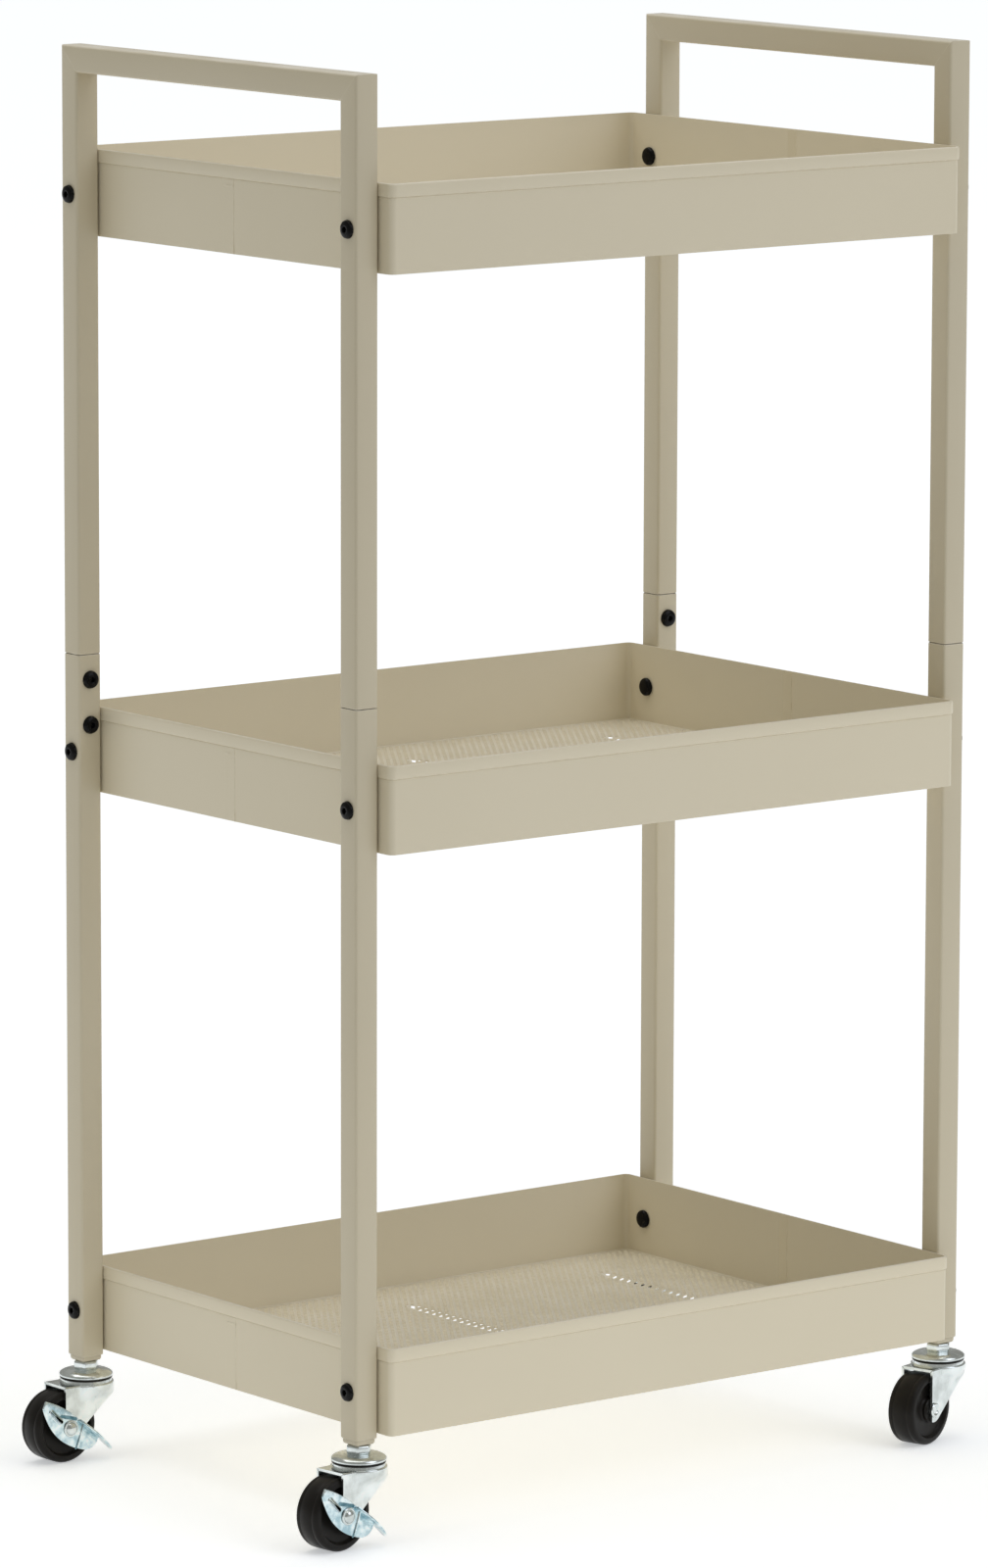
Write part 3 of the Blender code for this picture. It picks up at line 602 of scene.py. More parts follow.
def makeLeg(endName, sideName):
    tube = frameTube
    node = f"leg_{endName}_{sideName}"
    low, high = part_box(node)
    middle = boxMiddle(node)
    size, bore, bevel, rim = tube["size"], tube["boreSize"], tube["endBevel"], tube["footRim"]
    stations = [(tube["footPlug"] - less, low.z + rise) for less, rise in tube["footSteps"]]
    shoulder = stations[-1][1]
    stations += [(size - 2 * rim, shoulder), (size, shoulder + rim), (size, high.z - bevel),
                 (size - 2 * bevel, high.z), (bore, high.z), (bore, high.z - tube["boreDepth"])]
    bm = bmesh.new()
    face = squareFace(bm, stations[0][0], tube["rounding"], tube["roundSteps"], (middle.x, middle.y, low.z))
    sweepUp(bm, face, stations)
    faceOut(bm)
    addPiece(f"leg_tube_{endName}_{sideName}", bm, "paint", "cart", [node], finish="shadedFrameCoat")


for sideName in sides:
    makeHandleFrame(sideName)
    for endName in ends:
        makeLeg(endName, sideName)
print("tube frame built")


# trays: one folded wall and one perforated floor each
trayLow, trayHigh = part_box("tray_top")
trayHalf = Vector(((trayHigh.x - trayLow.x) / 2, (trayHigh.y - trayLow.y) / 2, 0.0))
trayWall = {
    "height": 0.0474,  # rim to the wall's lower edge
    "sheet": 0.0008,
    "hemHeight": 0.0070,
    "hemStep": 0.0007,
    "hemRound": 0.0003,
    "hemSteps": 2,
    "creaseDepth": 0.0002,
    "creaseHeight": 0.0005,
    "creaseFlank": 0.0003,
    "rimRound": 0.0009,
    "rimSteps": 6,
    "rimInner": 0.00015,
    "rimInnerSteps": 2,
    "corner": 0.0042,
    "cornerSteps": 8,
    "floorRise": 0.0030,
    "fillet": 0.0010,
    "filletShare": 0.98,
    "filletSteps": 2,
    "sharp": 25,
}


def makeTrayWall():
    # section of hem, wall, fillet and floor edge, turned round one corner, run out straight and mirrored
    wall = trayWall
    step, hem, foot = wall["hemStep"], -wall["hemHeight"], -wall["height"]
    inner = step + wall["sheet"]
    deep = step + wall["creaseDepth"]
    creaseLow = hem - wall["creaseHeight"]
    wallTop = creaseLow - wall["creaseFlank"]
    floorTop = foot + wall["floorRise"]
    floorUnder = floorTop - wall["sheet"]
    toe = inner + wall["fillet"]
    section = {
        "skirtIn": (inner, floorUnder), "footIn": (inner, foot), "footOut": (step, foot),
        "wallTop": (step, wallTop), "creaseLow": (deep, creaseLow), "crease": (deep, hem),
        "hemFoot": (0.0, hem), "rimOut": (0.0, 0.0), "rimIn": (inner, 0.0),
        "fold": (inner, floorTop), "toeTop": (toe, floorTop), "toeUnder": (toe, floorUnder),
    }
    bm = bmesh.new()
    corner = Vector((trayHalf.x - wall["corner"], trayHalf.y - wall["corner"], 0.0))
    points = {label: bm.verts.new((trayHalf.x - inset, corner.y, z))
              for label, (inset, z) in section.items()}
    bm.faces.new(points.values())
    roundCorners(bm, [points["fold"]], wall["fillet"] * wall["filletShare"], wall["filletSteps"])
    roundCorners(bm, [points["rimOut"]], wall["rimRound"], wall["rimSteps"])
    roundCorners(bm, [points["rimIn"]], wall["rimInner"], wall["rimInnerSteps"])
    roundCorners(bm, [points["hemFoot"]], wall["hemRound"], wall["hemSteps"])
    bmesh.ops.delete(bm, geom=bm.faces[:], context="FACES_ONLY")
    startEdges = bm.edges[:]
    turned = bmesh.ops.spin(bm, geom=bm.verts[:] + startEdges, cent=corner, axis=(0.0, 0.0, 1.0),
                            angle=pi / 2, steps=wall["cornerSteps"])
    lastEdges = [e for e in turned["geom_last"] if isinstance(e, bmesh.types.BMEdge)]
    pullEdges(bm, startEdges, (0.0, -corner.y, 0.0))
    pullEdges(bm, lastEdges, (-corner.x, 0.0, 0.0))
    for axis in ("X", "Y"):
        bmesh.ops.mirror(bm, geom=everything(bm), axis=axis, merge_dist=weldReach)
    bmesh.ops.remove_doubles(bm, verts=bm.verts, dist=weldReach)
    faceOut(bm)
    for side in sides.values():
        addLap(bm, side, trayHalf.x - step, trayHalf.x - inner, wallTop)
    return bm


trayLap = {
    "width": 0.009,
    "rise": 0.00013,
    "place": 0.0050,
    "notch": 0.0016,
    "gap": 0.0003,
    "sink": 0.00005,
    "innerRise": 0.00020,
    "innerPlace": 0.0005,
    "dash": (0.0080, 0.0009, 0.00030),  # length, width, rise
    "dashDrop": 0.0112,
    "tick": (0.0007, 0.0042, 0.00030),  # width, height, rise
}


def addLap(bm, side, face, inside, top):
    # lap seam, pressed dash and tick on a short wall, and the lap on its inner side
    lap, wall = trayLap, trayWall
    foot = lap["gap"] - wall["height"]
    middle = (side * face, lap["place"] - lap["width"] / 2, (top + foot) / 2)
    for vert in addBlock(bm, (2 * lap["rise"], lap["width"], top - foot), middle):
        if (vert.co.x - side * face) * side > 0 and vert.co.y > middle[1]:  # fades into the wall
            vert.co.x = side * (face - lap["sink"])
        if vert.co.z < middle[2] and vert.co.y < middle[1]:
            vert.co.z += lap["notch"]
    height = wall["height"] - wall["floorRise"] - wall["fillet"] - wall["rimRound"]
    middle = (side * inside, lap["innerPlace"], -wall["rimRound"] - height / 2)
    for vert in addBlock(bm, (2 * lap["innerRise"], lap["width"], height), middle):
        if (vert.co.x - side * inside) * side < 0 and vert.co.y > middle[1]:
            vert.co.x = side * (inside + lap["sink"])
    length, width, rise = lap["dash"]
    addBlock(bm, (2 * rise, length, width), (side * face, 0.0, -lap["dashDrop"]))
    width, height, rise = lap["tick"]
    addBlock(bm, (2 * rise, width, height),
             (side * face, lap["place"] - lap["width"], height / 2 - wall["height"]))


trayFloor = {
    "pitch": 0.0064,
    "row": 0.0022,
    "spareCells": 6,
    "hole": 0.58,
    "margin": 0.0022,
    "tuck": 0.0005,
    "thickness": 0.00076,
    "grooves": (-1, 0, 1),
    "grooveSpacing": 0.140,
    "grooveLength": 0.196,
    "grooveWidth": 0.009,
    "grooveDepth": 0.0020,
    "grooveFlank": 0.0026,
}


def pressGroove(x, y):
    # how far the floor is pressed down at a point
    floor = trayFloor
    reach = floor["grooveLength"] / 2 - floor["grooveWidth"] / 2
    deepest = 0.0
    for k in floor["grooves"]:
        away = hypot(x - k * floor["grooveSpacing"], max(abs(y) - reach, 0.0))
        share = (floor["grooveWidth"] / 2 - away) / floor["grooveFlank"]
        deepest = max(deepest, min(1.0, share))
    return floor["grooveDepth"] * deepest


def facesWithin(bm, reachX, reachY, x=0.0):
    # faces with their middle less than so far from (x, 0)
    middles = ((f, f.calc_center_median()) for f in bm.faces)
    return [f for f, middle in middles if abs(middle.x - x) < reachX and abs(middle.y) < reachY]


def makeTrayFloor():
    # a net of diamonds, holed, cut to the tray and pressed with three grooves
    floor = trayFloor
    row, half = floor["row"], floor["pitch"] / 2
    edge = trayWall["hemStep"] + trayWall["sheet"] + trayWall["fillet"]
    halfX = trayHalf.x - edge + floor["tuck"]
    halfY = trayHalf.y - edge + floor["tuck"]
    cells = int(halfX / row + halfY / half) + floor["spareCells"]
    cells += cells % 2
    bm = bmesh.new()
    bmesh.ops.create_grid(bm, x_segments=cells, y_segments=cells, size=cells / 2)
    bmesh.ops.rotate(bm, verts=bm.verts, matrix=Matrix.Rotation(radians(45), 3, "Z"))
    bmesh.ops.scale(bm, verts=bm.verts, vec=(row * sqrt(2), floor["pitch"] / sqrt(2), 1.0))
    kept = set(facesWithin(bm, halfX + 2 * row, halfY + floor["pitch"]))
    bmesh.ops.delete(bm, geom=[f for f in bm.faces if f not in kept], context="FACES")
    border = floor["tuck"] + floor["margin"]
    holed = facesWithin(bm, halfX - border, halfY - border)
    across = row * half / hypot(row, half)  # a diamond's side to its middle
    bmesh.ops.inset_individual(bm, faces=holed, thickness=across * (1 - floor["hole"]),
                               use_even_offset=True)
    bmesh.ops.delete(bm, geom=holed, context="FACES_ONLY")
    for sign in (-1, 1):
        for normal, reach in (((sign, 0.0, 0.0), halfX), ((0.0, sign, 0.0), halfY)):
            bmesh.ops.bisect_plane(bm, geom=everything(bm), dist=weldReach, plane_co=Vector(normal) * reach,
                                   plane_no=normal, clear_outer=True)
    # straight cuts along the grooves, so that they press cleanly
    rim = floor["grooveWidth"] / 2
    bed = rim - floor["grooveFlank"]
    for k in floor["grooves"]:
        for offset in (-rim, -bed, bed, rim):
            x = k * floor["grooveSpacing"] + offset
            near = facesWithin(bm, 2 * row, floor["grooveLength"] / 2, x)
            edges = list(dict.fromkeys(e for f in near for e in f.edges))
            verts = list(dict.fromkeys(v for f in near for v in f.verts))
            bmesh.ops.bisect_plane(bm, geom=verts + edges + near, dist=weldReach, plane_co=(x, 0.0, 0.0),
                                   plane_no=(1.0, 0.0, 0.0))
    for vert in bm.verts:
        vert.co.z -= pressGroove(vert.co.x, vert.co.y)
    loose = [v for v in bm.verts if not v.link_faces]
    bmesh.ops.delete(bm, geom=loose, context="VERTS")
    for face in bm.faces:
        if face.normal.z < 0:
            face.normal_flip()
    bm.normal_update()
    bmesh.ops.solidify(bm, geom=bm.faces[:], thickness=floor["thickness"])
    return bm


wallShape = makeTrayWall()
floorShape = makeTrayFloor()
floorLevel = Vector((0.0, 0.0, trayWall["floorRise"] - trayWall["height"]))
for tier in tiers:
    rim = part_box(f"tray_{tier}")[1].z
    place = cartMiddle + Vector((0.0, 0.0, rim))
    for label, shape, spot in (("wall", wallShape, place), ("floor", floorShape, place + floorLevel)):
        addPiece(f"tray_{label}_{tier}", placedCopy(shape, Matrix.Translation(spot)), "paint", "cart",
                 [f"tray_{tier}"], trayWall["sharp"])
wallShape.free()
floorShape.free()
print("trays built")


# black screws and domed nuts
buttonScrew = {
    "head": 0.0050,
    "fullness": 2.8,
    "headHeight": 0.0026,
    "lip": 0.0004,
    "edge": 0.0002,
    "shank": 0.0025,
    "reach": 0.0040,
    "mouthGap": 0.0003,
    "socketFlats": 0.0030,
    "socketLead": 0.0002,
    "socketDepth": 0.0015,
    "domeSteps": 6,
    "turnSteps": 36,
}


def hexReach(angle, flats):
    # how far a hexagon reaches at an angle
    return flats / 2 / cos((angle % (pi / 3)) - pi / 6)


def makeButtonScrew():
    screw = buttonScrew
    head, lip, shank, edge = screw["head"], screw["lip"], screw["shank"], screw["edge"]
    flats, power = screw["socketFlats"], screw["fullness"]
    mouth = flats / 2 / cos(pi / 6) + screw["mouthGap"]
    profile = [(0.0, -screw["reach"]), (shank, -screw["reach"]), (shank, 0.0),
               (head - edge, 0.0), (head, edge), (head, lip)]
    rise = screw["headHeight"] - lip
    for k in range(1, screw["domeSteps"] + 1):
        radius = head + (mouth - head) * k / screw["domeSteps"]
        fall = 1 - (radius / head) ** power
        profile.append((radius, lip + rise * fall ** (1 / power)))
    bm = spinProfile(profile, screw["turnSteps"])
    rim = [e for e in bm.edges if e.is_boundary]
    for drop in (screw["socketLead"], screw["socketDepth"]):
        verts, rim = pullEdges(bm, rim, (0.0, 0.0, -drop))
        setReach(verts, lambda angle: hexReach(angle, flats))
    bmesh.ops.holes_fill(bm, edges=rim, sides=0)
    faceOut(bm)
    return bm


capNut = {
    "radius": 0.0052,
    "height": 0.0030,
    "lip": 0.0006,
    "edge": 0.0002,
    "fullness": 2.4,
    "domeSteps": 8,
    "turnSteps": 36,
}


def makeCapNut():
    # closed nut, seen as one smooth dome
    nut = capNut
    reach, lip, edge, power = nut["radius"], nut["lip"], nut["edge"], nut["fullness"]
    rise = nut["height"] - lip
    profile = [(0.0, 0.0), (reach - edge, 0.0), (reach, edge), (reach, lip)]
    for k in range(1, nut["domeSteps"] + 1):
        share = cos(pi / 2 * k / nut["domeSteps"])
        profile.append((reach * share, lip + rise * (1 - share ** power) ** (1 / power)))
    profile[-1] = (0.0, nut["height"])
    return spinProfile(profile, nut["turnSteps"])


def addFastener(name, shape, place, direction, node):
    addPiece(name, placedCopy(shape, facing(place, direction)), "fastener", "cart", [node])


screwShape = makeButtonScrew()
nutShape = makeCapNut()
outerFaces = {"left": leftLow.x, "right": rightHigh.x}
for tier in tiers:
    for endName in ends:
        for sideName, side in sides.items():
            corner = f"{tier}_{endName}_{sideName}"
            screwNode, nutNode = f"tray_screw_{corner}", f"cap_nut_{corner}"
            middle = boxMiddle(screwNode)
            addFastener(f"tray_button_{corner}", screwShape, (outerFaces[sideName], middle.y, middle.z),
                        (side, 0.0, 0.0), screwNode)
            low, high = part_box(nutNode)
            seat = high.x if side > 0 else low.x
            addFastener(f"tray_nut_{corner}", nutShape, (seat, middle.y, middle.z),
                        (-side, 0.0, 0.0), nutNode)
for endName, end in ends.items():
    for sideName in sides:
        low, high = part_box(f"leg_{endName}_{sideName}")
        seat = high.y if end < 0 else low.y
        for level in ("upper", "lower"):
            label = f"{endName}_{sideName}_{level}"
            middle = boxMiddle(f"joint_screw_{label}")
            addFastener(f"joint_button_{label}", screwShape, (middle.x, seat, middle.z), (0.0, -end, 0.0),
                        f"joint_screw_{label}")
screwShape.free()
nutShape.free()
print("screws and nuts built")


# casters, each shape made once about its own stem or axle
casterStem = {
    "stem": 0.0040,
    "top": 0.0673,
    "tipEdge": 0.0005,
    "hexFlats": 0.0126,
    "hexHeights": (0.0494, 0.0543),
    "hexTurn": 17,
    "hexRound": 0.0011,
    "hexSteps": 4,
    "dish": 0.0150,
    "dishFlat": 0.0088,
    "flatEdge": ((-0.0008, 0.0), (-0.0003, -0.00025), (0.0002, -0.0003)),  # out, up
    "dishHeights": (0.0457, 0.0496),
    "dishTurns": range(20, 91, 10),
    "dishFoot": 0.0010,
    "dishEdge": 0.0004,
    "dishSheet": 0.0012,
    "boss": 0.0090,
    "bossBottom": 0.0447,
    "pinBottom": 0.0413,
    "peen": 0.0062,
    "peenEdge": 0.0004,
    "peenTaper": 0.0012,
    "peenBottom": 0.0401,
    "turnSteps": 48,
}


def makeStem():
    stem = casterStem
    pin, top, tip = stem["stem"], stem["top"], stem["tipEdge"]
    flat, dish, edge = stem["dishFlat"], stem["dish"], stem["dishEdge"]
    under, over = stem["dishHeights"]
    profile = [(0.0, top), (pin - tip, top), (pin, top - tip), (pin, over)]
    profile += [(flat + out, over + up) for out, up in stem["flatEdge"]]
    foot = under + stem["dishFoot"]
    fall = profile[-1][1] - foot
    profile += [(flat + (dish - flat) * sin(t), foot + fall * cos(t))
                for t in map(radians, stem["dishTurns"])]
    hollow = dish - stem["dishSheet"]
    boss, peen, pinBottom = stem["boss"], stem["peen"], stem["pinBottom"]
    profile += [(dish, under + edge), (dish - edge, under), (hollow, under), (hollow - edge, under + edge),
                (boss, under + edge), (boss, stem["bossBottom"]), (pin, stem["bossBottom"]),
                (pin, pinBottom), (peen, pinBottom), (peen, pinBottom - stem["peenEdge"]),
                (peen - stem["peenTaper"], stem["peenBottom"]), (0.0, stem["peenBottom"])]
    bm = spinProfile(profile, stem["turnSteps"])
    nut = bmesh.new()
    low, high = stem["hexHeights"]
    reach = stem["hexFlats"] / 2 / cos(pi / 6)
    ring = bmesh.ops.create_circle(nut, cap_ends=True, segments=6, radius=reach)["verts"]
    bmesh.ops.translate(nut, verts=ring, vec=(0.0, 0.0, low))
    bmesh.ops.rotate(nut, verts=ring, matrix=Matrix.Rotation(radians(stem["hexTurn"]), 3, "Z"))
    pull(nut, ring[0].link_faces[0], (0.0, 0.0, high - low))
    faceOut(nut)
    softenEdges(nut, stem["hexRound"], stem["hexSteps"])
    return joinShapes(bm, nut)


raceShadeRing = {
    "radius": 0.0146,
    "bore": 0.0092,
    "heights": (0.0445, 0.0457),
    "round": 0.0004,
    "turnSteps": 48,
}


def makeRaceShadeRing():
    # painted shade: a black ring filling the gap between dish and fork, where the shadow falls
    shadeRing = raceShadeRing
    low, high = shadeRing["heights"]
    reach, edge, bore = shadeRing["radius"], shadeRing["round"], shadeRing["bore"]
    profile = [(bore, low), (reach - edge, low), (reach, low + edge), (reach, high - edge),
               (reach - edge, high), (bore, high)]
    return spinProfile(profile, shadeRing["turnSteps"], closed=True)


casterFork = {
    "trail": 0.0190,
    "axleZ": 0.0200,
    "ring": 0.01545,
    "cheek": 0.0103,
    "cheekStart": 0.85,  # share of the trail
    "sheet": 0.0014,
    "plateTop": 0.0430,
    "raceTop": 0.0444,
    "race": 0.0144,
    "raceTaper": 0.985,
    "pinHole": 0.0043,
    "skirtBottom": 0.0412,
    "flareBottom": 0.0327,
    "noseX": -0.0210,
    "tip": 0.0068,
    "ringSteps": 24,
    "flareSteps": 6,
    "tipSteps": 14,
    "foldAngle": 50,
    "foldClear": 0.0004,
    "foldRound": 0.0009,
    "foldSteps": 3,
}


def makeForkSkin():
    # half of the skin from above, run down into skirt and cheek, then mirrored
    fork = casterFork
    ring, cheek = fork["ring"], fork["cheek"]
    nose = fork["trail"] + 2 * fork["tip"]
    reach = pi - asin(cheek / ring)
    turns = [reach * k / fork["ringSteps"] for k in range(fork["ringSteps"] + 1)]
    plan = [(ring * cos(t), ring * sin(t)) for t in turns]
    plan += [(-fork["trail"] * fork["cheekStart"], cheek), (-nose, cheek), (-nose, 0.0)]
    bm = bmesh.new()
    verts = [bm.verts.new((x, y, fork["plateTop"])) for x, y in plan]
    border = [bm.edges.new(pair) for pair in zip(verts, verts[1:])]

    # plate with its raised race
    raceVerts, raceEdges = pullEdges(bm, border)
    setReach(raceVerts, lambda angle: fork["race"])
    topVerts, topEdges = pullEdges(bm, raceEdges, (0.0, 0.0, fork["raceTop"] - fork["plateTop"]))
    holeVerts = pullEdges(bm, topEdges)[0]
    bmesh.ops.scale(bm, verts=topVerts, vec=(fork["raceTaper"], fork["raceTaper"], 1.0))
    setReach(holeVerts, lambda angle: fork["pinHole"])

    # skirt, flare and cheek
    verts, edges = pullEdges(bm, border[:-1], (0.0, 0.0, fork["skirtBottom"] - fork["plateTop"]))
    wide = {vert: vert.co.y for vert in verts}
    fall = (fork["skirtBottom"] - fork["flareBottom"]) / fork["flareSteps"]
    for k in range(1, fork["flareSteps"] + 1):
        old = verts
        verts, edges = pullEdges(bm, edges, (0.0, 0.0, -fall))
        for vert, above in zip(verts, old):
            wide[vert] = wide[above]
        share = k / fork["flareSteps"]
        share = share * share * (3 - 2 * share)
        for vert in verts:
            vert.co.y = wide[vert] + share * (min(wide[vert], cheek) - wide[vert])
    pullEdges(bm, edges, (0.0, 0.0, fork["axleZ"] - 2 * fork["tip"] - fork["flareBottom"]))
    bmesh.ops.mirror(bm, geom=everything(bm), axis="Y", merge_dist=weldReach)
    bmesh.ops.remove_doubles(bm, verts=bm.verts, dist=weldReach)
    return bm


def trimFork(bm):
    # cuts the side outline: nose, front edge, round tip, back edge
    fork = casterFork
    axle = Vector((-fork["trail"], 0.0, fork["axleZ"]))

    def lineFrom(x, z, turn):
        away = hypot(x - axle.x, z - axle.z)
        return atan2(z - axle.z, x - axle.x) + turn * acos(fork["tip"] / away)

    first = lineFrom(fork["noseX"], fork["plateTop"], 1)
    last = lineFrom(fork["ring"] + fork["sheet"], fork["skirtBottom"], -1) + 2 * pi
    trims = [((fork["noseX"], 0.0, 0.0), (-1.0, 0.0, 0.0))]
    for k in range(fork["tipSteps"] + 1):
        angle = first + (last - first) * k / fork["tipSteps"]
        out = Vector((cos(angle), 0.0, sin(angle)))
        trims.append((axle + out * fork["tip"], out))
    for place, normal in trims:
        bmesh.ops.bisect_plane(bm, geom=everything(bm), dist=fineWeld, plane_co=place, plane_no=normal,
                               clear_outer=True)


def makeFork():
    # skin, trimmed, folded round and thickened
    fork = casterFork
    bm = makeForkSkin()
    trimFork(bm)
    faceOut(bm)
    highest = max(bm.faces, key=lambda f: f.calc_center_median().z)
    highest.normal_update()
    if highest.normal.z < 0:
        bmesh.ops.reverse_faces(bm, faces=bm.faces)
    level = [e for e in bm.edges if e.is_manifold
             and all(abs(v.co.z - fork["plateTop"]) < weldReach for v in e.verts)]
    fold = [e for e in level if e.calc_face_angle() > radians(fork["foldAngle"])
            and hypot(*e.verts[0].co.xy) > fork["race"] + fork["foldClear"]]
    roundEdges(bm, fold, fork["foldRound"], fork["foldSteps"])
    bmesh.ops.solidify(bm, geom=bm.faces[:], thickness=fork["sheet"])
    faceOut(bm)
    return bm


def alongAxle(bm):
    # from Z to the axle's +Y
    bmesh.ops.rotate(bm, verts=bm.verts, matrix=Matrix.Rotation(-pi / 2, 3, "X"))
    return bm


casterAxle = {
    "radius": 0.0025,
    "seat": 0.0106,
    "flare": 0.0041,
    "flareHeight": 0.0010,
    "flareEdge": 0.0004,
    "cup": ((0.0018, 0.0007), (0.0023, 0.0002), (0.0029, 0.0)),  # radius, depth
    "leverSeat": 0.0121,
    "rivet": 0.0047,
    "rivetHeight": 0.0026,
    "rivetRim": ((0.0, 0.0), (0.0, 0.0004), (-0.0003, 0.0007)),  # out, rise
    "domeShare": 0.76,
    "domeFoot": ((0.0002, 0.0008), (0.0, 0.0006)),  # out, rise
    "domeTurns": range(12, 85, 12),
    "turnSteps": 36,
}


def makeAxle(braked):
    # flared at both ends, or domed outside a brake lever
    axle = casterAxle
    out = axle["seat"] + axle["flareHeight"]
    flare, edge = axle["flare"], axle["flareEdge"]
    cup = [(radius, out - depth) for radius, depth in axle["cup"]]
    back = [(0.0, cup[0][1])] + cup
    back += [(flare - edge, out), (flare, out - edge), (flare, axle["seat"]),
             (axle["radius"], axle["seat"])]
    if braked:
        seat, rivet, rise = -axle["leverSeat"], axle["rivet"], axle["rivetHeight"]
        dome = rivet * axle["domeShare"]
        foot = axle["domeFoot"][-1][1]
        front = [(axle["radius"], seat)]
        front += [(rivet + beyond, seat - up) for beyond, up in axle["rivetRim"]]
        front += [(dome + beyond, seat - up) for beyond, up in axle["domeFoot"]]
        front += [(dome * cos(t), seat - foot - (rise - foot) * sin(t))
                  for t in map(radians, axle["domeTurns"])]
        front.append((0.0, seat - rise))
    else:
        front = [(radius, -y) for radius, y in reversed(back)]
    return alongAxle(spinProfile(back + front, axle["turnSteps"]))


casterWheel = {
    "radius": 0.0200,
    "halfWidth": 0.00836,
    "shoulder": 0.0026,
    "shoulderSteps": 6,
    "lineAt": 0.0046,
    "partLine": ((0.0, -0.0004), (-0.00012, -0.0002), (-0.00012, 0.0001), (-0.00004, 0.0003)),  # out, along
    "lip": 0.0158,
    "lipEdge": 0.0004,
    "web": 0.0062,
    "webRim": ((-0.0006, 0.0003), (-0.0010, 0.0)),
    "hub": 0.0066,
    "hubFoot": ((0.0010, -0.0004), (0.0003, 0.0), (0.0, 0.0004)),
    "hubEdge": 0.0003,
    "bore": 0.0028,
    "turnSteps": 96,
}


def makeWheel():
    # one side of the section from the tread's middle to the bore, mirrored and turned
    wheel = casterWheel
    radius, half, shoulder = wheel["radius"], wheel["halfWidth"], wheel["shoulder"]
    lip, web, hub = wheel["lip"], wheel["web"], wheel["hub"]
    profile = [(radius, 0.0)]
    profile += [(radius + out, wheel["lineAt"] + along) for out, along in wheel["partLine"]]
    for k in range(1, wheel["shoulderSteps"] + 1):
        turn = radians(90 * k / wheel["shoulderSteps"])
        profile.append((radius - shoulder + shoulder * cos(turn), half - shoulder + shoulder * sin(turn)))
    profile[-1] = (radius - shoulder, half)
    profile += [(lip + wheel["lipEdge"], half), (lip, half - wheel["lipEdge"])]
    profile += [(lip + out, web + along) for out, along in wheel["webRim"]]
    profile += [(hub + out, web + along) for out, along in wheel["hubFoot"]]
    profile += [(hub, half - wheel["hubEdge"]), (hub - wheel["hubEdge"], half), (wheel["bore"], half)]
    profile += [(r, -y) for r, y in reversed(profile[1:])]
    return alongAxle(spinProfile(profile, wheel["turnSteps"], closed=True))


brakeLever = {
    "inner": 0.0106,
    "sheet": 0.0012,
    "round": 0.00025,
    "roundSteps": 2,
    "tip": (-0.0164, 0.0175),
    "heel": (-0.0182, 0.0135),
    "belly": (-0.0135, -0.0080),
    "toe": (0.0098, -0.0134),
    "toeBend": (0.0150, -0.0140),
    "toeSteps": 6,
    "hem": (0.0180, -0.0098),
    "brow": (-0.0045, 0.0135),
    "curveSteps": 16,
    "pedalTop": (0.0055, 0.0050),
    "pedalTip": (0.0270, -0.0145),
    "pedalShare": 0.62,
    "pedalRoot": 0.0020,
    "pedalWidth": 0.0095,
    "pedalEnd": 0.0022,
    "slot": ((-0.0128, 0.0106), (-0.0069, 0.0049)),
    "slotRadius": 0.0019,
    "slotRise": 0.0008,
    "slotFlank": (0.4, 0.6),  # shares of the rise: upright, sloping
    "slotTaper": (0.95, 0.82, 1.0),
    "slotRim": 0.00045,
    "slotSink": 0.7,
    "slotBed": (0.93, 0.75, 1.0),
    "crease": ((0.0088, 0.0012), (0.0046, -0.0118)),
    "creaseWidth": 0.0017,
    "creaseRise": 0.00060,
    "creaseRound": 0.9,
    "creaseSteps": 3,
    # slotShadePatch and shadePatches place the painted shade patches
    "slotShadePatch": (0.55, 0.3),  # shares of the slot's radius and rise
    "shadePatches": (((-0.0060, 0.0078), (0.0036, 0.0050), 0.0011),
                ((0.0061, -0.0050), (0.0034, -0.0116), 0.0006)),
    "shadeLift": 0.00004,
    "capsuleSteps": 28,
}
leverOuter = brakeLever["inner"] + brakeLever["sheet"]
leverMiddle = brakeLever["inner"] + brakeLever["sheet"] / 2


def bendPoints(start, control, end, steps):
    # a curve from start, drawn towards control, up to but without end
    made = []
    for k in range(steps):
        t = k / steps
        made.append(Vector(start) * (1 - t) ** 2 + Vector(control) * 2 * t * (1 - t) + Vector(end) * t * t)
    return made


def makeCapsule(first, last, radius):
    # a flat long round, along X about the origin
    bm = bmesh.new()
    steps = brakeLever["capsuleSteps"]
    ring = bmesh.ops.create_circle(bm, cap_ends=True, segments=steps, radius=radius)["verts"]
    half = (Vector(last) - Vector(first)).length / 2
    for vert in ring:
        vert.co.x += half * (1 if vert.co.x > 0 else -1)
    return bm, ring[0].link_faces[0]


def layOnPlate(bm, first, last, depth):
    # turns a shape from flat in XY to the lever's outer side, along the line from first to last
    first, last = Vector(first), Vector(last)
    run = (last - first).normalized()
    middle = (first + last) / 2
    turn = Matrix(((run.x, run.y, 0.0), (0.0, 0.0, -1.0), (run.y, -run.x, 0.0)))
    place = Matrix.Translation((middle.x, -depth, middle.y))
    bmesh.ops.transform(bm, verts=bm.verts, matrix=place @ turn.to_4x4())


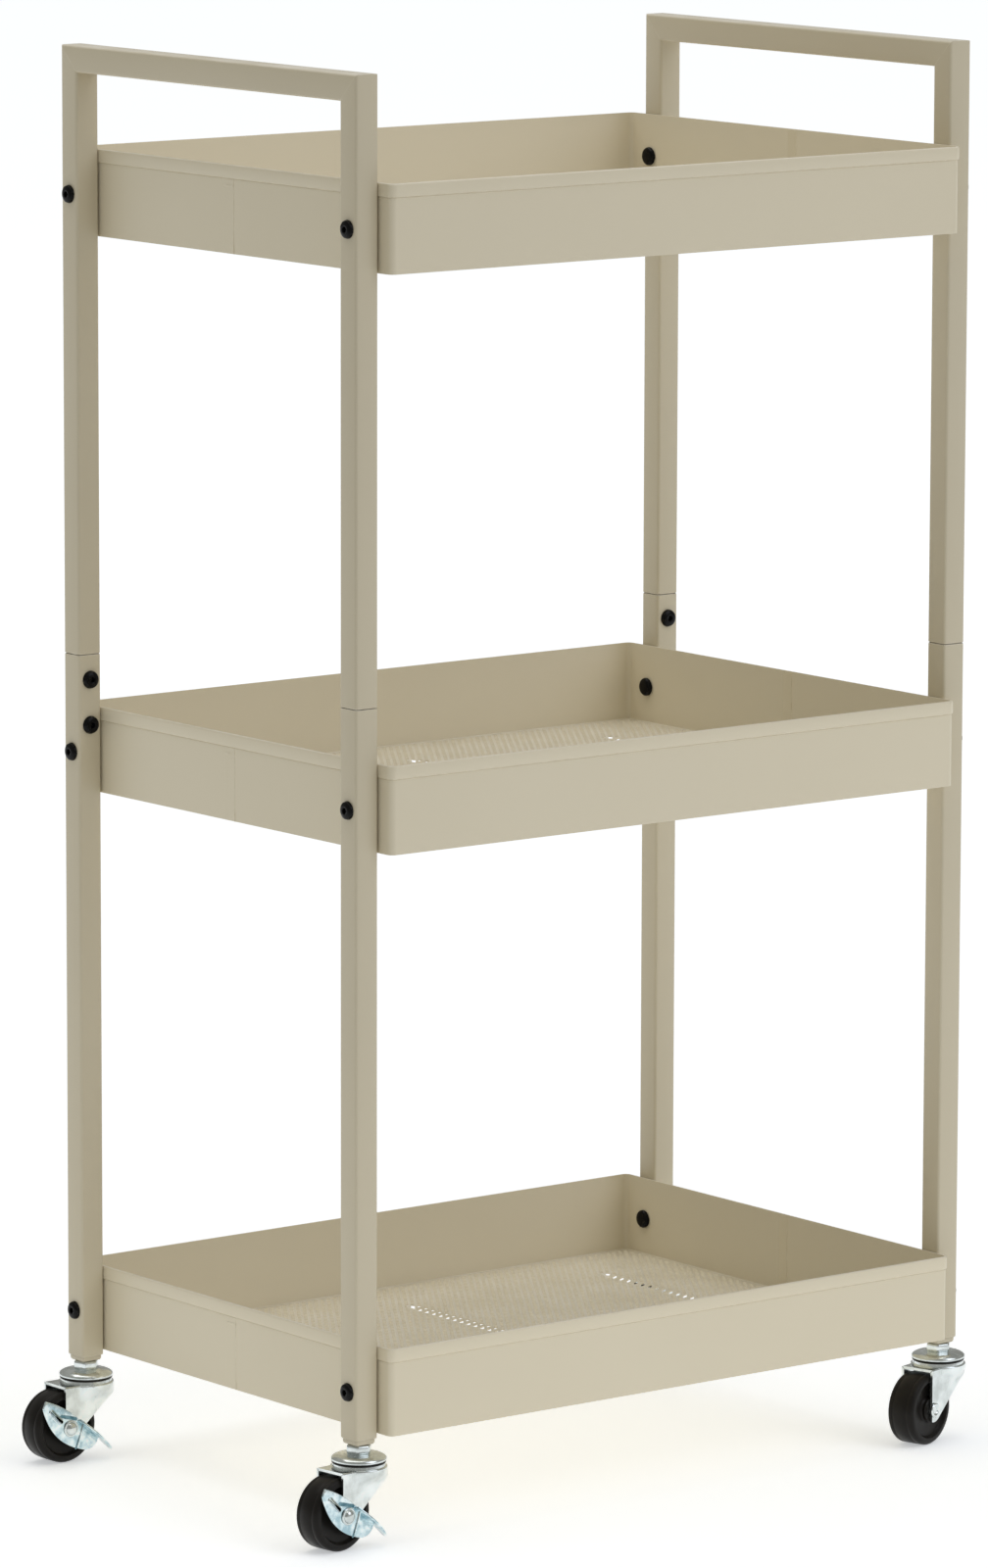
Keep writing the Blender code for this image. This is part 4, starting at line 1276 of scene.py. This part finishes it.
def makeLeverPlate():
    lever = brakeLever
    webEnd = Vector(lever["pedalTop"]).lerp(Vector(lever["pedalTip"]), lever["pedalShare"])
    outline = [Vector(lever["tip"])]
    outline += bendPoints(lever["heel"], lever["belly"], lever["toe"], lever["curveSteps"])
    outline += bendPoints(lever["toe"], lever["toeBend"], lever["hem"], lever["toeSteps"])
    outline += [Vector(lever["hem"]), webEnd]
    outline += bendPoints(lever["pedalTop"], lever["brow"], lever["tip"], lever["curveSteps"])
    bm = bmesh.new()
    plate = bm.faces.new([bm.verts.new((p.x, -lever["inner"], p.y)) for p in outline])
    pull(bm, plate, (0.0, -lever["sheet"], 0.0))
    faceOut(bm)
    softenEdges(bm, lever["round"], lever["roundSteps"])
    return bm


def makePedalBlade():
    # square to the plate, along its upper edge
    lever = brakeLever
    sheet, end = lever["sheet"], lever["pedalEnd"]
    top, tip = Vector(lever["pedalTop"]), Vector(lever["pedalTip"])
    length = (tip - top).length
    run = (tip - top).normalized()
    along = Vector((run.x, 0.0, run.y))
    above = Vector((-run.y, 0.0, run.x))
    root = Vector((top.x, -leverMiddle, top.y)) + above * sheet / 4
    tab = [Vector((sheet, 0.0))]
    tab += bendPoints((sheet, lever["pedalRoot"]), (length / 2, lever["pedalWidth"]), (length, end),
                      lever["curveSteps"])
    tab += [Vector((length, end)), Vector((length, 0.0))]
    bm = bmesh.new()
    face = bm.faces.new([bm.verts.new(root + along * p.x - Vector((0.0, p.y, 0.0))) for p in tab])
    pull(bm, face, -above * sheet)
    faceOut(bm)
    softenEdges(bm, lever["round"], lever["roundSteps"])
    return bm


def makeLeverSlot():
    # long dimple near the tip, with a raised rim
    lever = brakeLever
    rise = lever["slotRise"]
    upright, sloping = lever["slotFlank"]
    bm, face = makeCapsule(*lever["slot"], lever["slotRadius"])
    face = pull(bm, face, (0.0, 0.0, lever["sheet"] / 2 + rise * upright))
    face = pull(bm, face, (0.0, 0.0, rise * sloping))
    bmesh.ops.scale(bm, verts=face.verts, vec=lever["slotTaper"])
    bmesh.ops.inset_region(bm, faces=[face], thickness=lever["slotRim"], use_even_offset=True)
    face = pull(bm, face, (0.0, 0.0, -rise * lever["slotSink"]))
    bmesh.ops.scale(bm, verts=face.verts, vec=lever["slotBed"])
    faceOut(bm)
    layOnPlate(bm, *lever["slot"], leverMiddle)
    return bm


def makeLeverCrease():
    # pressed band across the plate
    lever = brakeLever
    first, last = (Vector(p) for p in lever["crease"])
    bm = bmesh.new()
    addBlock(bm, ((last - first).length, lever["creaseWidth"], 2 * lever["creaseRise"]), (0.0, 0.0, 0.0))
    softenEdges(bm, lever["creaseRise"] * lever["creaseRound"], lever["creaseSteps"])
    layOnPlate(bm, first, last, leverOuter)
    return bm


def makeLever():
    bm = makeLeverPlate()
    for part in (makePedalBlade(), makeLeverSlot(), makeLeverCrease()):
        joinShapes(bm, part)
    return bm


def makeLeverShadePatches():
    # painted shade: thin dark patches laid on the lever where shade falls, in the slot's sunk bed, above
    # the rivet and along the pressed band
    lever = brakeLever
    lift = lever["shadeLift"]
    radiusShare, riseShare = lever["slotShadePatch"]
    spots = [(*lever["slot"], lever["slotRadius"] * radiusShare, lever["slotRise"] * riseShare)]
    spots += [(*hollow, 0.0) for hollow in lever["shadePatches"]]
    bm = bmesh.new()
    for first, last, radius, rise in spots:
        patch, face = makeCapsule(first, last, radius)
        pull(patch, face, (0.0, 0.0, 2 * lift))
        faceOut(patch)
        layOnPlate(patch, first, last, leverOuter + rise - lift)
        joinShapes(bm, patch)
    return bm


stemShape = makeStem()
raceShadeShape = makeRaceShadeRing()
forkShape = makeFork()
axleShapes = [makeAxle(False), makeAxle(True)]
wheelShape = makeWheel()
leverShape = makeLever()
shadePatchShape = makeLeverShadePatches()
joints = {joint["name"]: joint for joint in frame["joints"]}
for endName in ends:
    for sideName in sides:
        corner = f"{endName}_{sideName}"
        axis = Vector(joints[f"roll_{corner}"]["axis"])
        turn = Matrix.Rotation(atan2(-axis.x, axis.y), 4, "Z")
        stemSpot = Vector(joints[f"swivel_{corner}"]["pos_m"])
        atStem = Matrix.Translation((stemSpot.x, stemSpot.y, 0.0))
        atAxle = Matrix.Translation(joints[f"roll_{corner}"]["pos_m"]) @ turn
        braked = f"brake_{corner}" in joints
        swivel, brake = f"swivel_{corner}", f"brake_{corner}"
        rows = [("stem", stemShape, atStem, "zinc", "cart", "caster_stem", None),
                # the black ring under the dish stands for the shadow in the gap
                ("shadeRing", raceShadeShape, atStem, "wheel", "cart", "caster_stem", None),
                ("fork", forkShape, atStem @ turn, "zinc", swivel, "caster_fork", None),
                ("axle", axleShapes[braked], atAxle, "zinc", swivel, "caster_axle", None),
                ("tyre", wheelShape, atAxle, "wheel", f"wheel_{corner}", "caster_wheel", None)]
        if braked:
            rows += [("pedal", leverShape, atAxle, "zinc", brake, "brake_lever", "leverZinc"),
                     ("pedal_painted_shade", shadePatchShape, atAxle, "zinc", brake, "brake_lever", "paintedShadeZinc")]
        for label, shape, spot, slotName, body, node, finish in rows:
            addPiece(f"{label}_{corner}", placedCopy(shape, spot), slotName, body, [f"{node}_{corner}"],
                     finish=finish)
for shape in (stemShape, raceShadeShape, forkShape, *axleShapes, wheelShape, leverShape, shadePatchShape):
    shape.free()
print("casters built")
